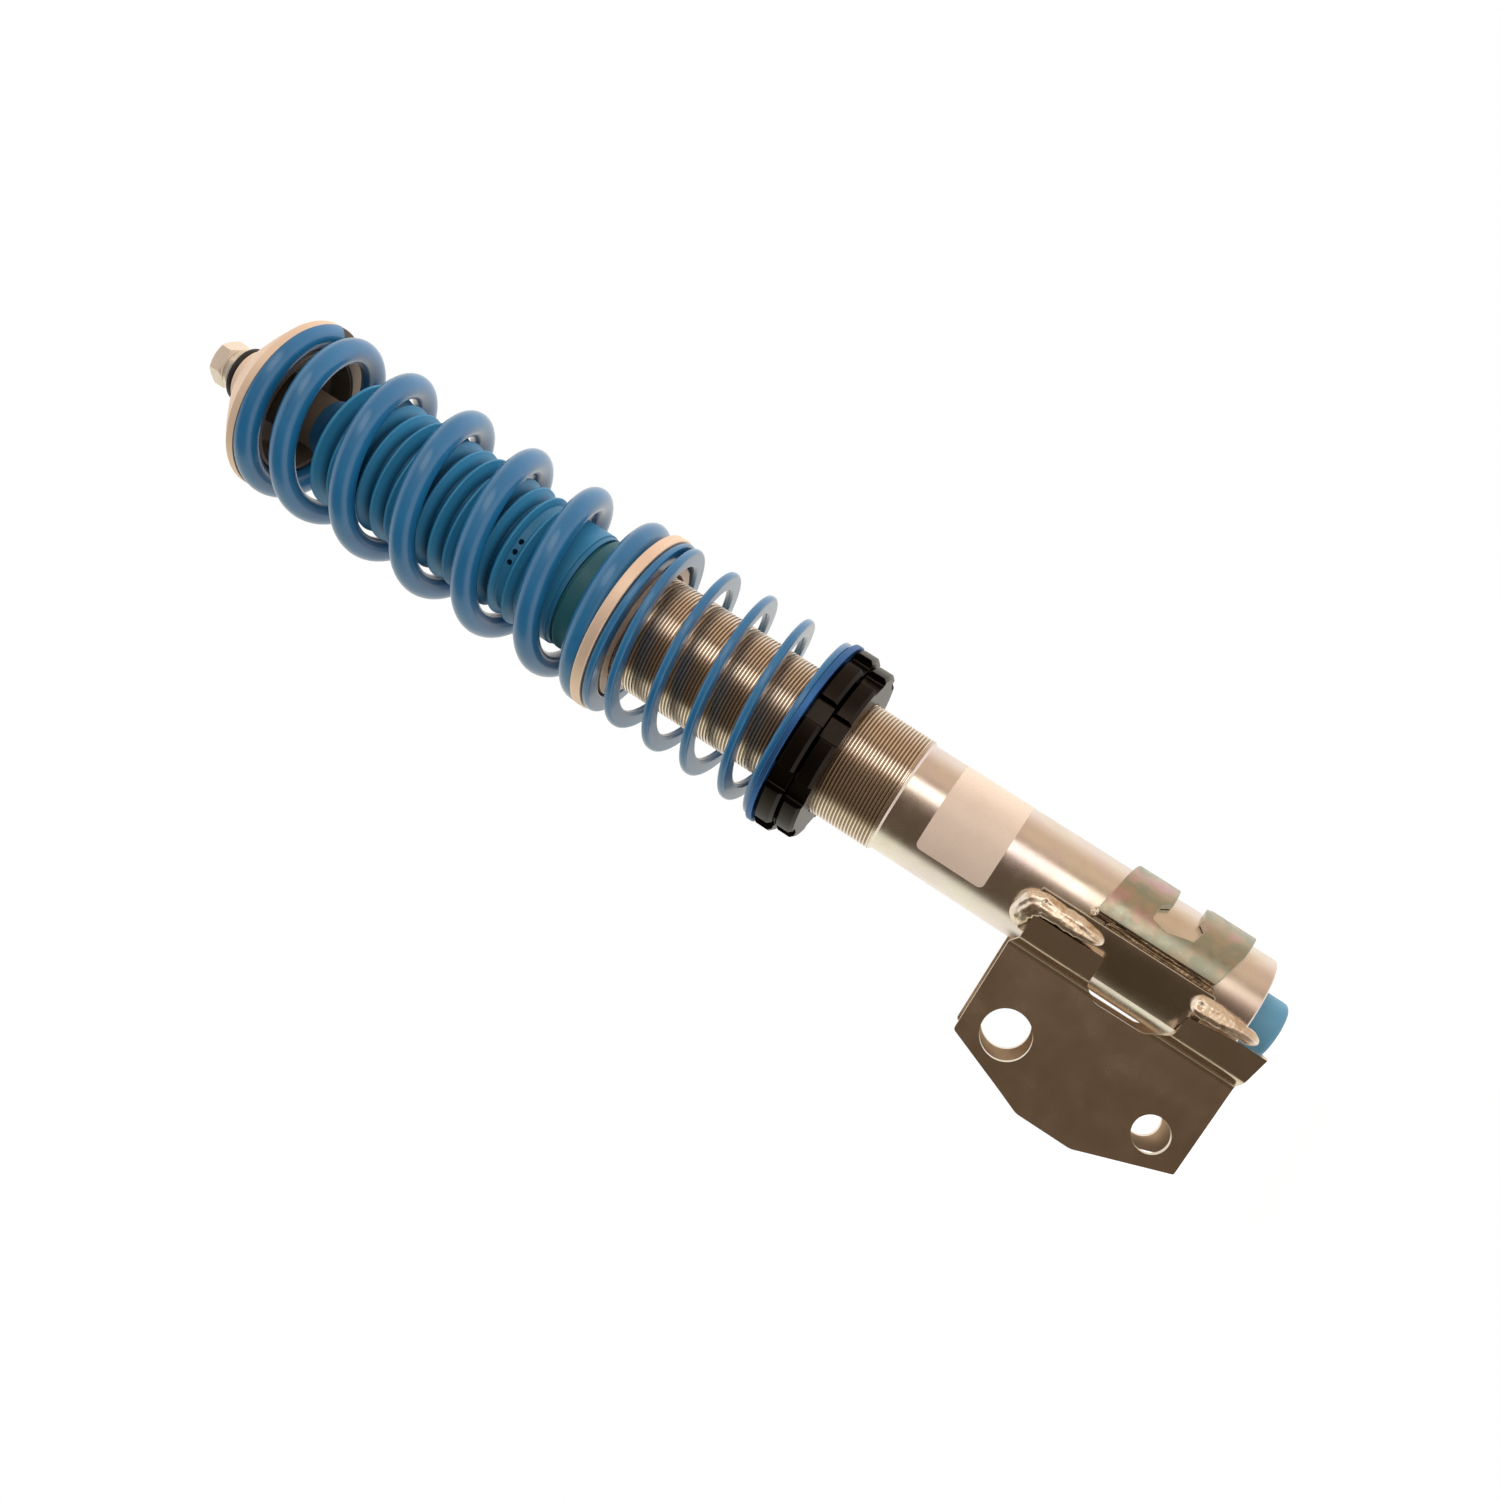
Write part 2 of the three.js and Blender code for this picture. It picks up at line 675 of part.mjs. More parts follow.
// The plug that closes the cylinder, with the neck and the threaded stud that carry the top plate.
function topStud() {
  const shoulder = HUB_BOTTOM - GAP;
  const neckFoot = CYLINDER_TOP;
  const lead = 1.2;
  return turned(
    [
      [0, CYLINDER_TOP - PLUG_HEIGHT],
      [INNER_R, CYLINDER_TOP - PLUG_HEIGHT],
      [INNER_R, neckFoot],
      [NECK_R, neckFoot],
      [NECK_R, shoulder],
      [STUD_R, shoulder],
      [STUD_R, STUD_TOP - lead],
      [STUD_R - lead * 0.4, STUD_TOP - lead * 0.4],
      [STUD_R - lead * 1.4, STUD_TOP],
      [0, STUD_TOP],
    ],
    SMALL_ROUND,
  );
}

function topPlate() {
  const bore = STUD_R + RUN;
  const rimTop = PLATE_SEAT + PLATE_RIM_T;
  const pilotR = MAIN_INNER_R - SPIGOT_CLEARANCE;
  const edge = 0.6;
  return turned([
    [bore, HUB_BOTTOM],
    [PLATE_HUB_R - 0.5, HUB_BOTTOM],
    [PLATE_HUB_R + 9, HUB_BOTTOM - 3.2],
    [pilotR - PLATE_WALL, rimTop + 2.4],
    [pilotR - 1.8, PLATE_SEAT - PLATE_PILOT_DEPTH],
    [pilotR, PLATE_SEAT - PLATE_PILOT_DEPTH],
    [pilotR, PLATE_SEAT],
    [PLATE_R - edge, PLATE_SEAT],
    [PLATE_R, PLATE_SEAT + edge],
    [PLATE_R, rimTop - edge],
    [PLATE_R - edge, rimTop],
    [PLATE_R - 6, rimTop + 5.4],
    [PLATE_R - 11, rimTop + 10],
    [PLATE_HUB_R + 10, PLATE_TOP - 10],
    [PLATE_HUB_R + 4, PLATE_TOP - 7],
    [PLATE_HUB_R, PLATE_TOP - 4],
    [PLATE_HUB_R, PLATE_TOP - edge],
    [PLATE_HUB_R - edge, PLATE_TOP],
    [bore, PLATE_TOP],
  ]);
}

function topSpacer() {
  const edge = 0.8;
  const top = SPACER_BOTTOM + SPACER_T;
  return turned(
    [
      [STUD_R + RUN, SPACER_BOTTOM],
      [SPACER_R - edge, SPACER_BOTTOM],
      [SPACER_R, SPACER_BOTTOM + edge],
      [SPACER_R, top - edge],
      [SPACER_R - edge, top],
      [STUD_R + RUN, top],
    ],
    SMALL_ROUND,
  );
}

function topWasher() {
  return ring(STUD_R + RUN, WASHER_R, WASHER_BOTTOM, WASHER_BOTTOM + WASHER_T, SMALL_ROUND);
}

// ---- Bushes, seals and boot ---------------------------------------------------------------------

function guideBush(bottom) {
  return ring(CYLINDER_R + RUN, TUBE_BORE_R - GAP, bottom, bottom + BUSH_HEIGHT, SMALL_ROUND);
}

function sealCap() {
  const bore = CYLINDER_R + 2 * RUN;
  const edge = 0.8;
  return turned(
    [
      [bore, TUBE_TOP - SEAL_CAP_REGISTER],
    [TUBE_BORE_R - GAP, TUBE_TOP - SEAL_CAP_REGISTER],
    [TUBE_BORE_R - GAP, SEAL_CAP_BOTTOM],
    [SEAL_CAP_R, SEAL_CAP_BOTTOM],
    [SEAL_CAP_R, SEAL_CAP_TOP - edge],
    [SEAL_CAP_R - edge, SEAL_CAP_TOP],
    [SEAL_CAP_SPIGOT_R, SEAL_CAP_TOP],
    [SEAL_CAP_SPIGOT_R, SEAL_CAP_SPIGOT_TOP - edge],
    [SEAL_CAP_SPIGOT_R - edge, SEAL_CAP_SPIGOT_TOP],
    [bore, SEAL_CAP_SPIGOT_TOP],
    [bore, WIPER_Z + WIPER_HEIGHT],
    [WIPER_GROOVE_R, WIPER_Z + WIPER_HEIGHT],
    [WIPER_GROOVE_R, WIPER_Z],
    [bore, WIPER_Z],
    ],
    SEAL_CAP_ROUND,
  );
}

function wiperSeal() {
  const lip = CYLINDER_R + RUN;
  const back = WIPER_GROOVE_R - GAP;
  const bottom = WIPER_Z + GAP;
  const top = WIPER_Z + WIPER_HEIGHT - GAP;
  return turned(
    [
      [lip + 0.8, bottom],
      [back, bottom],
      [back, top],
      [lip + 0.8, top],
      [lip, top - 1],
    ],
    SMALL_ROUND,
  );
}

// The boot: a plain sleeve on the seal cap, a row of ribs, and a web round the neck.
function dustBoot() {
  const sleeveBore = SEAL_CAP_SPIGOT_R + GAP;
  const bore = BOOT_VALLEY_R - BOOT_WALL;
  const firstValley = BOOT_FIRST_RIB - BOOT_RIB_PITCH / 2;
  const step = 0.7;
  const outline = [
    [sleeveBore, BOOT_BOTTOM],
    [BOOT_SLEEVE_R - step, BOOT_BOTTOM],
    [BOOT_SLEEVE_R - step, BOOT_BOTTOM + 2],
    [BOOT_SLEEVE_R, BOOT_BOTTOM + 2],
    [BOOT_SLEEVE_R, firstValley],
  ];
  for (let i = 0; i < BOOT_RIBS; i++) {
    const height = BOOT_FIRST_RIB + BOOT_RIB_PITCH * i;
    outline.push([BOOT_RIB_R, height]);
    outline.push([BOOT_VALLEY_R, height + BOOT_RIB_PITCH / 2]);
  }
  outline.push([BOOT_RIB_R + 0.2, BOOT_TOP - 1.2]);
  outline.push([BOOT_RIB_R - 0.6, BOOT_TOP]);
  outline.push([NECK_R + RUN, BOOT_TOP]);
  outline.push([NECK_R + RUN, CYLINDER_TOP + GAP]);
  outline.push([bore, CYLINDER_TOP + GAP]);
  const boreRings = Math.floor(BOOT_RIBS / 5);
  const boreTop = BOOT_FIRST_RIB + BOOT_RIB_PITCH * BOOT_RIBS;
  for (let i = boreRings; i > 0; i--) {
    outline.push([bore, THREE.MathUtils.lerp(BOOT_FIRST_RIB, boreTop, i / (boreRings + 1))]);
  }
  outline.push([bore, SEAL_CAP_SPIGOT_TOP + 2]);
  outline.push([sleeveBore, SEAL_CAP_SPIGOT_TOP + GAP]);
  return turned(outline, SMALL_ROUND);
}

// ---- Lock ring, collar, perch, divider ----------------------------------------------------------

// A ring nut with lugs, its edges chamfered. One lug's middle points to lugAt degrees.
function lugRing(bottom, top, outer, floor, lugAt) {
  const chamfer = LUG_CHAMFER;
  let body = turned(
    [
      [RING_BORE_R, bottom],
      [outer - chamfer, bottom],
      [outer, bottom + chamfer],
      [outer, top - chamfer],
      [outer - chamfer, top],
      [RING_BORE_R, top],
    ],
    LUG_ROUND,
  );
  const half = NOTCH_WIDTH / 2;
  const notch = roundedShape([
    [floor, -half, 1],
    [outer + 5, -half - 1],
    [outer + 5, half + 1],
    [floor, half, 1],
  ]);
  for (let i = 0; i < LUGS; i++) {
    const settings = { depth: top - bottom + 2, bevelEnabled: false, curveSegments: 2 };
    const cutter = new THREE.ExtrudeGeometry(notch, settings).translate(0, 0, bottom - 1);
    cutter.rotateZ(radians(lugAt) + (TURN * (i + 0.5)) / LUGS);
    body = body.subtract(solidOf(cutter));
  }
  return body;
}

function springPerch() {
  const lipTop = PERCH_SEAT + PERCH_LIP;
  const spigotR = HELPER_INNER_R - SPIGOT_CLEARANCE;
  const edge = 0.5;
  return turned([
    [RING_BORE_R, PERCH_BOTTOM],
    [PERCH_R - edge, PERCH_BOTTOM],
    [PERCH_R, PERCH_BOTTOM + edge],
    [PERCH_R, lipTop - edge],
    [PERCH_R - edge, lipTop],
    [PERCH_R - 2 * edge, lipTop],
    [HELPER_MEAN_R + HELPER_WIRE_WIDTH / 2 + GAP, PERCH_SEAT],
    [spigotR, PERCH_SEAT],
    [spigotR, PERCH_SEAT + PERCH_SPIGOT_H - edge],
    [spigotR - edge, PERCH_SEAT + PERCH_SPIGOT_H],
    [RING_BORE_R, PERCH_SEAT + PERCH_SPIGOT_H],
  ]);
}

function springDivider() {
  const top = DIVIDER_BOTTOM + DIVIDER_T;
  const lowerSpigotR = HELPER_INNER_R - SPIGOT_CLEARANCE;
  const upperSpigotR = MAIN_INNER_R - SPIGOT_CLEARANCE;
  const edge = 0.6;
  return turned([
    [DIVIDER_BORE_R, DIVIDER_BOTTOM - DIVIDER_SPIGOT_H],
    [lowerSpigotR - edge, DIVIDER_BOTTOM - DIVIDER_SPIGOT_H],
    [lowerSpigotR, DIVIDER_BOTTOM - DIVIDER_SPIGOT_H + edge],
    [lowerSpigotR, DIVIDER_BOTTOM],
    [DIVIDER_R - edge, DIVIDER_BOTTOM],
    [DIVIDER_R, DIVIDER_BOTTOM + edge],
    [DIVIDER_R, top - edge],
    [DIVIDER_R - edge, top],
    [upperSpigotR, top],
    [upperSpigotR, top + DIVIDER_SPIGOT_H - edge],
    [upperSpigotR - edge, top + DIVIDER_SPIGOT_H],
    [DIVIDER_BORE_R, top + DIVIDER_SPIGOT_H],
  ]);
}

// ---- Welded brackets ----------------------------------------------------------------------------

// The near ear: the plan of the bent sheet and the side view's outline, cut from each other.
function knuckleEar() {
  const reach = Math.max(...EAR_OUTLINE.map(([x]) => x)) + 1;
  const outside = [[reach, EAR_OUTER_Y], [EAR_BEND_X, EAR_OUTER_Y], FLANGE_BEND, FLANGE_TIP];
  const inside = besidePath(outside, EAR_T);
  const bends = [0, EAR_T / 2, EAR_T, 0];
  const innerBends = [0, EAR_T, EAR_T / 2, 0];
  const plan = roundedShape([
    ...outside.map((point, i) => [...point, bends[i]]),
    ...inside.map((point, i) => [...point, innerBends[i]]).reverse(),
  ]);
  const heights = EAR_OUTLINE.map(([, z]) => z);
  const [low, high] = [Math.min(...heights) - 1, Math.max(...heights) + 1];
  const depth = FLANGE_TIP[1] + EAR_T;
  const side = sidePrism(roundedShape(EAR_OUTLINE), 0, depth, 2);
  let ear = prism(plan, low, high, 2).intersect(side);
  for (const { x, z, r } of EAR_HOLES) {
    const hole = new THREE.CylinderGeometry(r, r, 2 * depth, SMALL_ROUND);
    ear = ear.subtract(solidOf(hole.translate(x, depth, z)));
  }
  const room = ring(0, DOUBLER_OUTER_R + GAP, low - 1, high + 1);
  return ear.subtract(room);
}

function doubler() {
  return sector(
    DOUBLER_INNER_R,
    DOUBLER_OUTER_R,
    DOUBLER_FROM,
    DOUBLER_TO,
    DOUBLER_BOTTOM,
    DOUBLER_TOP,
  );
}

// Room that a weld bead leaves for the ear, the doubler and the tube.
function weldRoom(ear) {
  const grow = WELD_BITE;
  const sheet = sector(
    0,
    DOUBLER_OUTER_R + grow,
    DOUBLER_FROM - 1,
    DOUBLER_TO + 1,
    DOUBLER_BOTTOM - grow,
    DOUBLER_TOP + grow,
  );
  const tube = ring(0, TUBE_R + grow, 0, THREAD_START);
  const shifts = [
    [-grow, 0, 0],
    [0, grow, 0],
    [0, 0, grow],
  ];
  let room = sheet.add(tube);
  for (const shift of shifts) room = room.add(solidOf(geometryOf(ear).translate(...shift)));
  return room;
}

// A bead along a flange's end, from the flange's face down to the tube.
function flangeBead([bottom, top]) {
  const [x, y] = FLANGE_TIP;
  const foot = TUBE_R - 1;
  const plan = roundedShape([
    [x + 2.2, y - EAR_T, 0],
    [x + 1.6, y + WELD_CROWN * 0.4, 1],
    [x - WELD_WIDTH * 0.35, y + WELD_CROWN * 0.3, 2],
    [x - WELD_WIDTH, DOUBLER_OUTER_R + 0.6, 1],
    [x - WELD_WIDTH, foot, 0],
    [x + 2.2, foot, 0],
  ]);
  const round = 2.5;
  const [left, right] = [x - WELD_WIDTH - 1, x + 3];
  const front = roundedShape([
    [left, bottom, round],
    [right, bottom, round],
    [right, top, round],
    [left, top, round],
  ]);
  return prism(plan, bottom, top, 1).intersect(sidePrism(front, 0, y + EAR_T, 1));
}

function largestBody(solid) {
  return solid.decompose().sort((a, b) => b.volume() - a.volume())[0];
}

function upperWeld(ear) {
  const cap = sector(
    TUBE_R,
    DOUBLER_OUTER_R + 3.4,
    WELD_CAP_FROM,
    DOUBLER_TO - 6,
    UPPER_WELD[1] - 4.5,
    WELD_CAP_TOP,
  );
  return largestBody(flangeBead(UPPER_WELD).add(cap).subtract(weldRoom(ear)));
}

function lowerWeld(ear) {
  return largestBody(flangeBead(LOWER_WELD).subtract(weldRoom(ear)));
}

// The brake hose bracket: a curved sheet with sloping ends, and a notch between its two arms.
function brakeHoseBracket() {
  const inner = TUBE_R + GAP;
  const outer = inner + BRACKET_T;
  const xAt = (direction) => outer * Math.cos(radians(direction));
  const [root, end] = [xAt(BRACKET_FROM), xAt(BRACKET_TO)];
  const slope = (i) => (BRACKET_ROOT[i] - BRACKET_END[i]) / (root - end);
  const at = (x, i) => [x, BRACKET_END[i] + slope(i) * (x - end), 0];
  const [left, right] = [end - 2, root + 2];
  const side = roundedShape([at(right, 0), at(right, 1), at(left, 1), at(left, 0)]);
  const lowest = Math.min(...BRACKET_ROOT, ...BRACKET_END) - 5;
  const highest = Math.max(...BRACKET_ROOT, ...BRACKET_END) + 5;
  const sheet = sector(inner, outer, BRACKET_FROM, BRACKET_TO, lowest, highest, 12);
  const { from, to, low, high } = BRACKET_THROAT;
  const throat = sector(TUBE_R - 1, outer + 1, from, to, low, high);
  const mouth = sector(
    TUBE_R - 1,
    outer + 1,
    to - 2,
    BRACKET_TO + 5,
    BRACKET_MOUTH.low,
    BRACKET_MOUTH.high,
  );
  return sheet.intersect(sidePrism(side, -5, outer + 5)).subtract(throat).subtract(mouth);
}

// ---- Scene --------------------------------------------------------------------------------------

function material(color, roughness, metalness) {
  return new THREE.MeshStandardMaterial({ color, roughness, metalness });
}

const finishes = {
  springBlue: material(0x2f6ea5, 0.35, 0.1),
  bootBlue: material(0x1d5b7d, 0.5, 0),
  capBlue: material(0x4d88a8, 0.4, 0),
  zincTube: material(0xb8a58c, 0.25, 1),
  bracketZinc: material(0x5a4a3b, 0.3, 1),
  passivated: material(0xa5a688, 0.35, 1),
  weld: material(0xc0a080, 0.4, 1),
  champagne: material(0xe0bc9c, 0.4, 0.8),
  black: material(0x1f1b18, 0.45, 0.2),
  perchBlue: material(0x2f62b0, 0.35, 0.3),
  steel: material(0xc9c6c0, 0.3, 1),
  rubber: material(0x202020, 0.8, 0),
  bronze: material(0xb08d57, 0.5, 1),
};

function addTo(group, name, solid, finish) {
  const mesh = new THREE.Mesh(geometryOf(solid), finish.clone());
  mesh.name = name;
  group.add(mesh);
  return mesh;
}

function buildHousing() {
  const housing = new THREE.Group();
  const ear = knuckleEar();
  const sheet = doubler();
  const upper = upperWeld(ear);
  const lower = lowerWeld(ear);
  addTo(housing, "outer_tube", outerTube(), finishes.zincTube);
  addTo(housing, "tube_base", tubeBase(), finishes.steel);
  addTo(housing, "end_cap", endCap(), finishes.capBlue);
  addTo(housing, "knuckle_ear_near", ear, finishes.bracketZinc);
  addTo(housing, "knuckle_ear_far", mirrored(ear), finishes.bracketZinc);
  addTo(housing, "doubler_near", sheet, finishes.bracketZinc);
  addTo(housing, "doubler_far", mirrored(sheet), finishes.bracketZinc);
  addTo(housing, "weld_upper_near", upper, finishes.weld);
  addTo(housing, "weld_upper_far", mirrored(upper), finishes.weld);
  addTo(housing, "weld_lower_near", lower, finishes.weld);
  addTo(housing, "weld_lower_far", mirrored(lower), finishes.weld);
  addTo(housing, "brake_hose_bracket", brakeHoseBracket(), finishes.passivated);
  addTo(housing, "seal_cap", sealCap(), finishes.bootBlue);
  addTo(housing, "wiper_seal", wiperSeal(), finishes.rubber);
  const upperBushZ = TUBE_TOP - SEAL_CAP_REGISTER - GAP - BUSH_HEIGHT;
  addTo(housing, "upper_guide_bush", guideBush(upperBushZ), finishes.bronze);
  addTo(housing, "lower_guide_bush", guideBush(LOWER_BUSH_Z), finishes.bronze);
  addTo(housing, "piston_rod", pistonRod(), finishes.steel);
  addTo(housing, "rod_washer", rodWasher(), finishes.steel);
  const rodNut = hexNut(ROD_NUT_ACROSS, ROD_NUT_HEIGHT, ROD_STUD_R + RUN);
  const rodNutZ = TUBE_BOTTOM - 2 * GAP - ROD_WASHER_T - ROD_NUT_HEIGHT;
  addTo(housing, "rod_nut", rodNut, finishes.steel).position.z = rodNutZ;
  addTo(housing, "bump_stop", bumpStop(), finishes.rubber);
  addTo(housing, "piston", piston(), finishes.steel);
  const pistonNut = hexNut(ROD_NUT_ACROSS, PISTON_NUT_HEIGHT, ROD_STUD_R + RUN);
  addTo(housing, "piston_nut", pistonNut, finishes.steel).position.z = PISTON_NUT_Z;
  addTo(housing, "dust_boot", dustBoot(), finishes.bootBlue);
  return housing;
}

function buildDamper() {
  const damper = new THREE.Group();
  addTo(damper, "damper_cylinder", damperCylinder(), finishes.steel);
  addTo(damper, "rod_guide", rodGuide(), finishes.steel);
  addTo(damper, "top_stud", topStud(), finishes.steel);
  addTo(damper, "top_plate", topPlate(), finishes.champagne);
  addTo(damper, "top_spacer", topSpacer(), finishes.black);
  addTo(damper, "top_washer", topWasher(), finishes.steel);
  const nut = hexNut(NUT_ACROSS, NUT_HEIGHT, STUD_R + RUN);
  addTo(damper, "top_nut", nut, finishes.steel).position.z = NUT_BOTTOM;
  addTo(damper, "floating_piston", floatingPiston(), finishes.steel);
  return damper;
}

function buildSpringPack() {
  const pack = new THREE.Group();
  const lockRing = lugRing(
    LOCK_RING_BOTTOM,
    LOCK_RING_TOP,
    LOCK_RING_R,
    LOCK_RING_FLOOR_R,
    LOCK_RING_LUG_AT,
  );
  const collar = lugRing(COLLAR_BOTTOM, COLLAR_TOP, COLLAR_R, COLLAR_FLOOR_R, COLLAR_LUG_AT);
  addTo(pack, "lock_ring", lockRing, finishes.black);
  addTo(pack, "adjusting_collar", collar, finishes.black);
  addTo(pack, "spring_perch", springPerch(), finishes.perchBlue);
  addTo(pack, "helper_spring", helperSpring(), finishes.springBlue);
  addTo(pack, "spring_divider", springDivider(), finishes.champagne);
  addTo(pack, "main_spring", mainSpring(), finishes.springBlue);
  return pack;
}

const strut = new THREE.Group();
strut.add(buildHousing(), buildDamper(), buildSpringPack());

export default strut;
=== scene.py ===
# %% [markdown]
# # A suspension strut with an adjustable spring perch
# The real object is the front leg of a car's suspension: a damper in a threaded tube, two springs
# round it, and a welded bracket that grips the wheel's knuckle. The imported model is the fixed
# frame. It says where every piece sits and what it moves with, and this script dresses it: each
# visible piece is modelled again with finer surfaces, and gets a procedural finish.

# %% Load the frame
import json
import math

import bmesh
import bpy
from mathutils import Matrix, Vector, noise


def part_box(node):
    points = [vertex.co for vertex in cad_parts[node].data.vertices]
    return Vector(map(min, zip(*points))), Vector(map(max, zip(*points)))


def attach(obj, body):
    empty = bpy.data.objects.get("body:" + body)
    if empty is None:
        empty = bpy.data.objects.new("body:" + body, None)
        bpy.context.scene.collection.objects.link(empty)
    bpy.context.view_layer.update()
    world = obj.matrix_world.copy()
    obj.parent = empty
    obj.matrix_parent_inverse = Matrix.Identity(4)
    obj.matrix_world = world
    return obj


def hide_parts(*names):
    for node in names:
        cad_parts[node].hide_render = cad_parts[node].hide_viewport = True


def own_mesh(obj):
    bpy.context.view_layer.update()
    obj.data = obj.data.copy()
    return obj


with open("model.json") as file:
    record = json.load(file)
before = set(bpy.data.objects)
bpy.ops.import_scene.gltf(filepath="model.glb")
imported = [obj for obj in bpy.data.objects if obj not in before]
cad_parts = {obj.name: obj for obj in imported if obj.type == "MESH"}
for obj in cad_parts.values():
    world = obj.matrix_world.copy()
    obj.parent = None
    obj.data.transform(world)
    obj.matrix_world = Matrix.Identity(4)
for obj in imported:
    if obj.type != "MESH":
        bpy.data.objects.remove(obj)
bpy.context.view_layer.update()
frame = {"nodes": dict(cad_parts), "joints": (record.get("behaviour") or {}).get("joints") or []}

# %% [markdown]
# ## Measures
# Workshop drawings are in millimetres and the scene is in metres, so sizes are written in
# millimetres and scaled when a vertex is made. Radii and heights could be typed in, but they are
# read from the frame's nodes wherever a node has them: that keeps each skin on its solid.

# %% Units, and the measures of a node
MM = 0.001
TURN = 2 * math.pi
SEAT_GAP = 0.3  # air between two pieces that touch on the real strut


def span(node):
    """Largest radius about Z, lowest and highest point of a turned node, in millimetres."""
    low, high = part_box(node)
    return high[0] / MM, low[2] / MM, high[2] / MM


print("outer tube's radius, foot and top:", [round(size, 2) for size in span("outer_tube")])

# %% [markdown]
# ## Outlines
# Nearly every part of the strut starts as a flat drawing that is turned, bent or cut out. A drawing
# is a list of corners, and each corner has its own fillet radius, because a real edge is rounded
# and a sharp one catches no highlight. A bevel modifier would round all edges alike.


# %% Outline helpers
def rounded(corners, parts=4):
    """Points of a closed outline, in which corners (x, y, radius) are replaced by arcs."""
    points = []
    for i, (x, y, *rest) in enumerate(corners):
        radius = rest[0] if rest else 0
        here = Vector((x, y))
        if radius <= 0:
            points.append((x, y))
            continue
        before = (Vector(corners[i - 1][:2]) - here).normalized()
        after = (Vector(corners[(i + 1) % len(corners)][:2]) - here).normalized()
        half = before.angle(after) / 2
        centre = here + (before + after).normalized() * radius / math.sin(half)
        start = here + before * radius / math.tan(half) - centre
        sweep = start.angle_signed(here + after * radius / math.tan(half) - centre)
        for step in range(parts + 1):
            spoke = start.copy()
            spoke.rotate(Matrix.Rotation(-sweep * step / parts, 2))
            points.append(tuple(centre + spoke))
    return points


def circle(x, y, radius, count=64):
    angles = [TURN * i / count for i in range(count)]
    return [(x + radius * math.cos(a), y + radius * math.sin(a)) for a in angles]


def on_tube(radius, direction, height):
    """A point on a cylinder about the axis. Direction is in degrees from +X towards +Y."""
    angle = math.radians(direction)
    return Vector((radius * math.cos(angle), radius * math.sin(angle), height)) * MM


print("a fillet has", len(rounded([(0, 0), (4, 0, 1), (4, 4)])) - 2, "points")

# %% [markdown]
# ## From a bmesh to a piece
# A bmesh is a mesh under way, which operators shape. At its end every piece needs the same: seams
# merged, faces turned outwards, smooth shading, and sharp edges where the real part has them. The
# angle between two faces tells the real edges from the facets of a round.

# %% Finish a mesh
MERGE = 2e-7  # vertices closer than this, in metres, are one


def link_object(name, data):
    made = bpy.data.objects.new(name, data)
    bpy.context.scene.collection.objects.link(made)
    return made


def finish_mesh(bm, name, sharp=32):
    """A bmesh as an object with outward normals, smooth but for edges sharper than an angle."""
    bmesh.ops.remove_doubles(bm, verts=bm.verts, dist=MERGE)
    bmesh.ops.dissolve_degenerate(bm, edges=bm.edges, dist=1e-7)
    bmesh.ops.delete(bm, geom=[e for e in bm.edges if e.is_wire], context="EDGES")
    bmesh.ops.recalc_face_normals(bm, faces=bm.faces)
    for face in bm.faces:
        face.smooth = True
    for edge in bm.edges:
        edge.smooth = len(edge.link_faces) == 2 and edge.calc_face_angle(0) < math.radians(sharp)
    mesh = bpy.data.meshes.new(name)
    bm.to_mesh(mesh)
    bm.free()
    return link_object(name, mesh)


print("vertices merge within", MERGE / MM, "mm")


# %% Pick and round parts of a mesh
def all_geometry(bm):
    return bm.verts[:] + bm.edges[:] + bm.faces[:]


def new_verts(made):
    """The vertices among what an operator made."""
    return [item for item in made["geom"] if isinstance(item, bmesh.types.BMVert)]


def edges_over(bm, angle):
    """Edges where two faces meet at more than an angle, in degrees."""
    rims = [e for e in bm.edges if len(e.link_faces) == 2]
    return [e for e in rims if e.calc_face_angle(0) > math.radians(angle)]


def round_edges(bm, edges, offset, clamp=False):
    bmesh.ops.bevel(
        bm,
        geom=edges,
        offset=offset,
        segments=3,
        profile=0.5,
        affect="EDGES",
        clamp_overlap=clamp,
        material=-1,
    )


block = bmesh.new()
bmesh.ops.create_cube(block, size=1)
print("a cube has", len(edges_over(block, 50)), "edges to round")
block.free()

# %% [markdown]
# ## Turning on a lathe
# Tube, caps, perch, plate and boot were turned or moulded round. A cylinder with loop cuts could
# give their steps, but spinning half of the cut-open part round the axis is how a lathe works: the
# drawing holds walls, bores and grooves at once, and the result is closed.


# %% Spin an outline
def full_spin(bm, geom, steps, rise=0, merge=True):
    """One turn round the axis. A rise at each step, in metres, makes a helix of it."""
    bmesh.ops.spin(
        bm,
        geom=geom,
        cent=(0, 0, 0),
        axis=(0, 0, 1),
        dvec=(0, 0, rise),
        angle=TURN,
        steps=steps,
        use_merge=merge,
    )


def turned(name, corners, steps=144, parts=4, sharp=32):
    """A closed outline of (radius, height, fillet) corners spun round the axis."""
    bm = bmesh.new()
    verts = [bm.verts.new((r * MM, 0, z * MM)) for r, z in rounded(corners, parts)]
    edges = [bm.edges.new((verts[i - 1], verts[i])) for i in range(len(verts))]
    full_spin(bm, verts + edges, steps)
    return finish_mesh(bm, name, sharp)


off_round = span("outer_tube")[0] * (1 - math.cos(math.pi / 144))
print("144 steps leave the tube", round(off_round, 4), "mm off round")

# %% [markdown]
# ## Node helpers
# A material is a tree of nodes. These helpers add a node, set its inputs and link it, so that each
# finish below reads as a short recipe. Colours are written as 0 to 255, as a colour picker shows
# them, and turned into the linear values that the nodes work with.


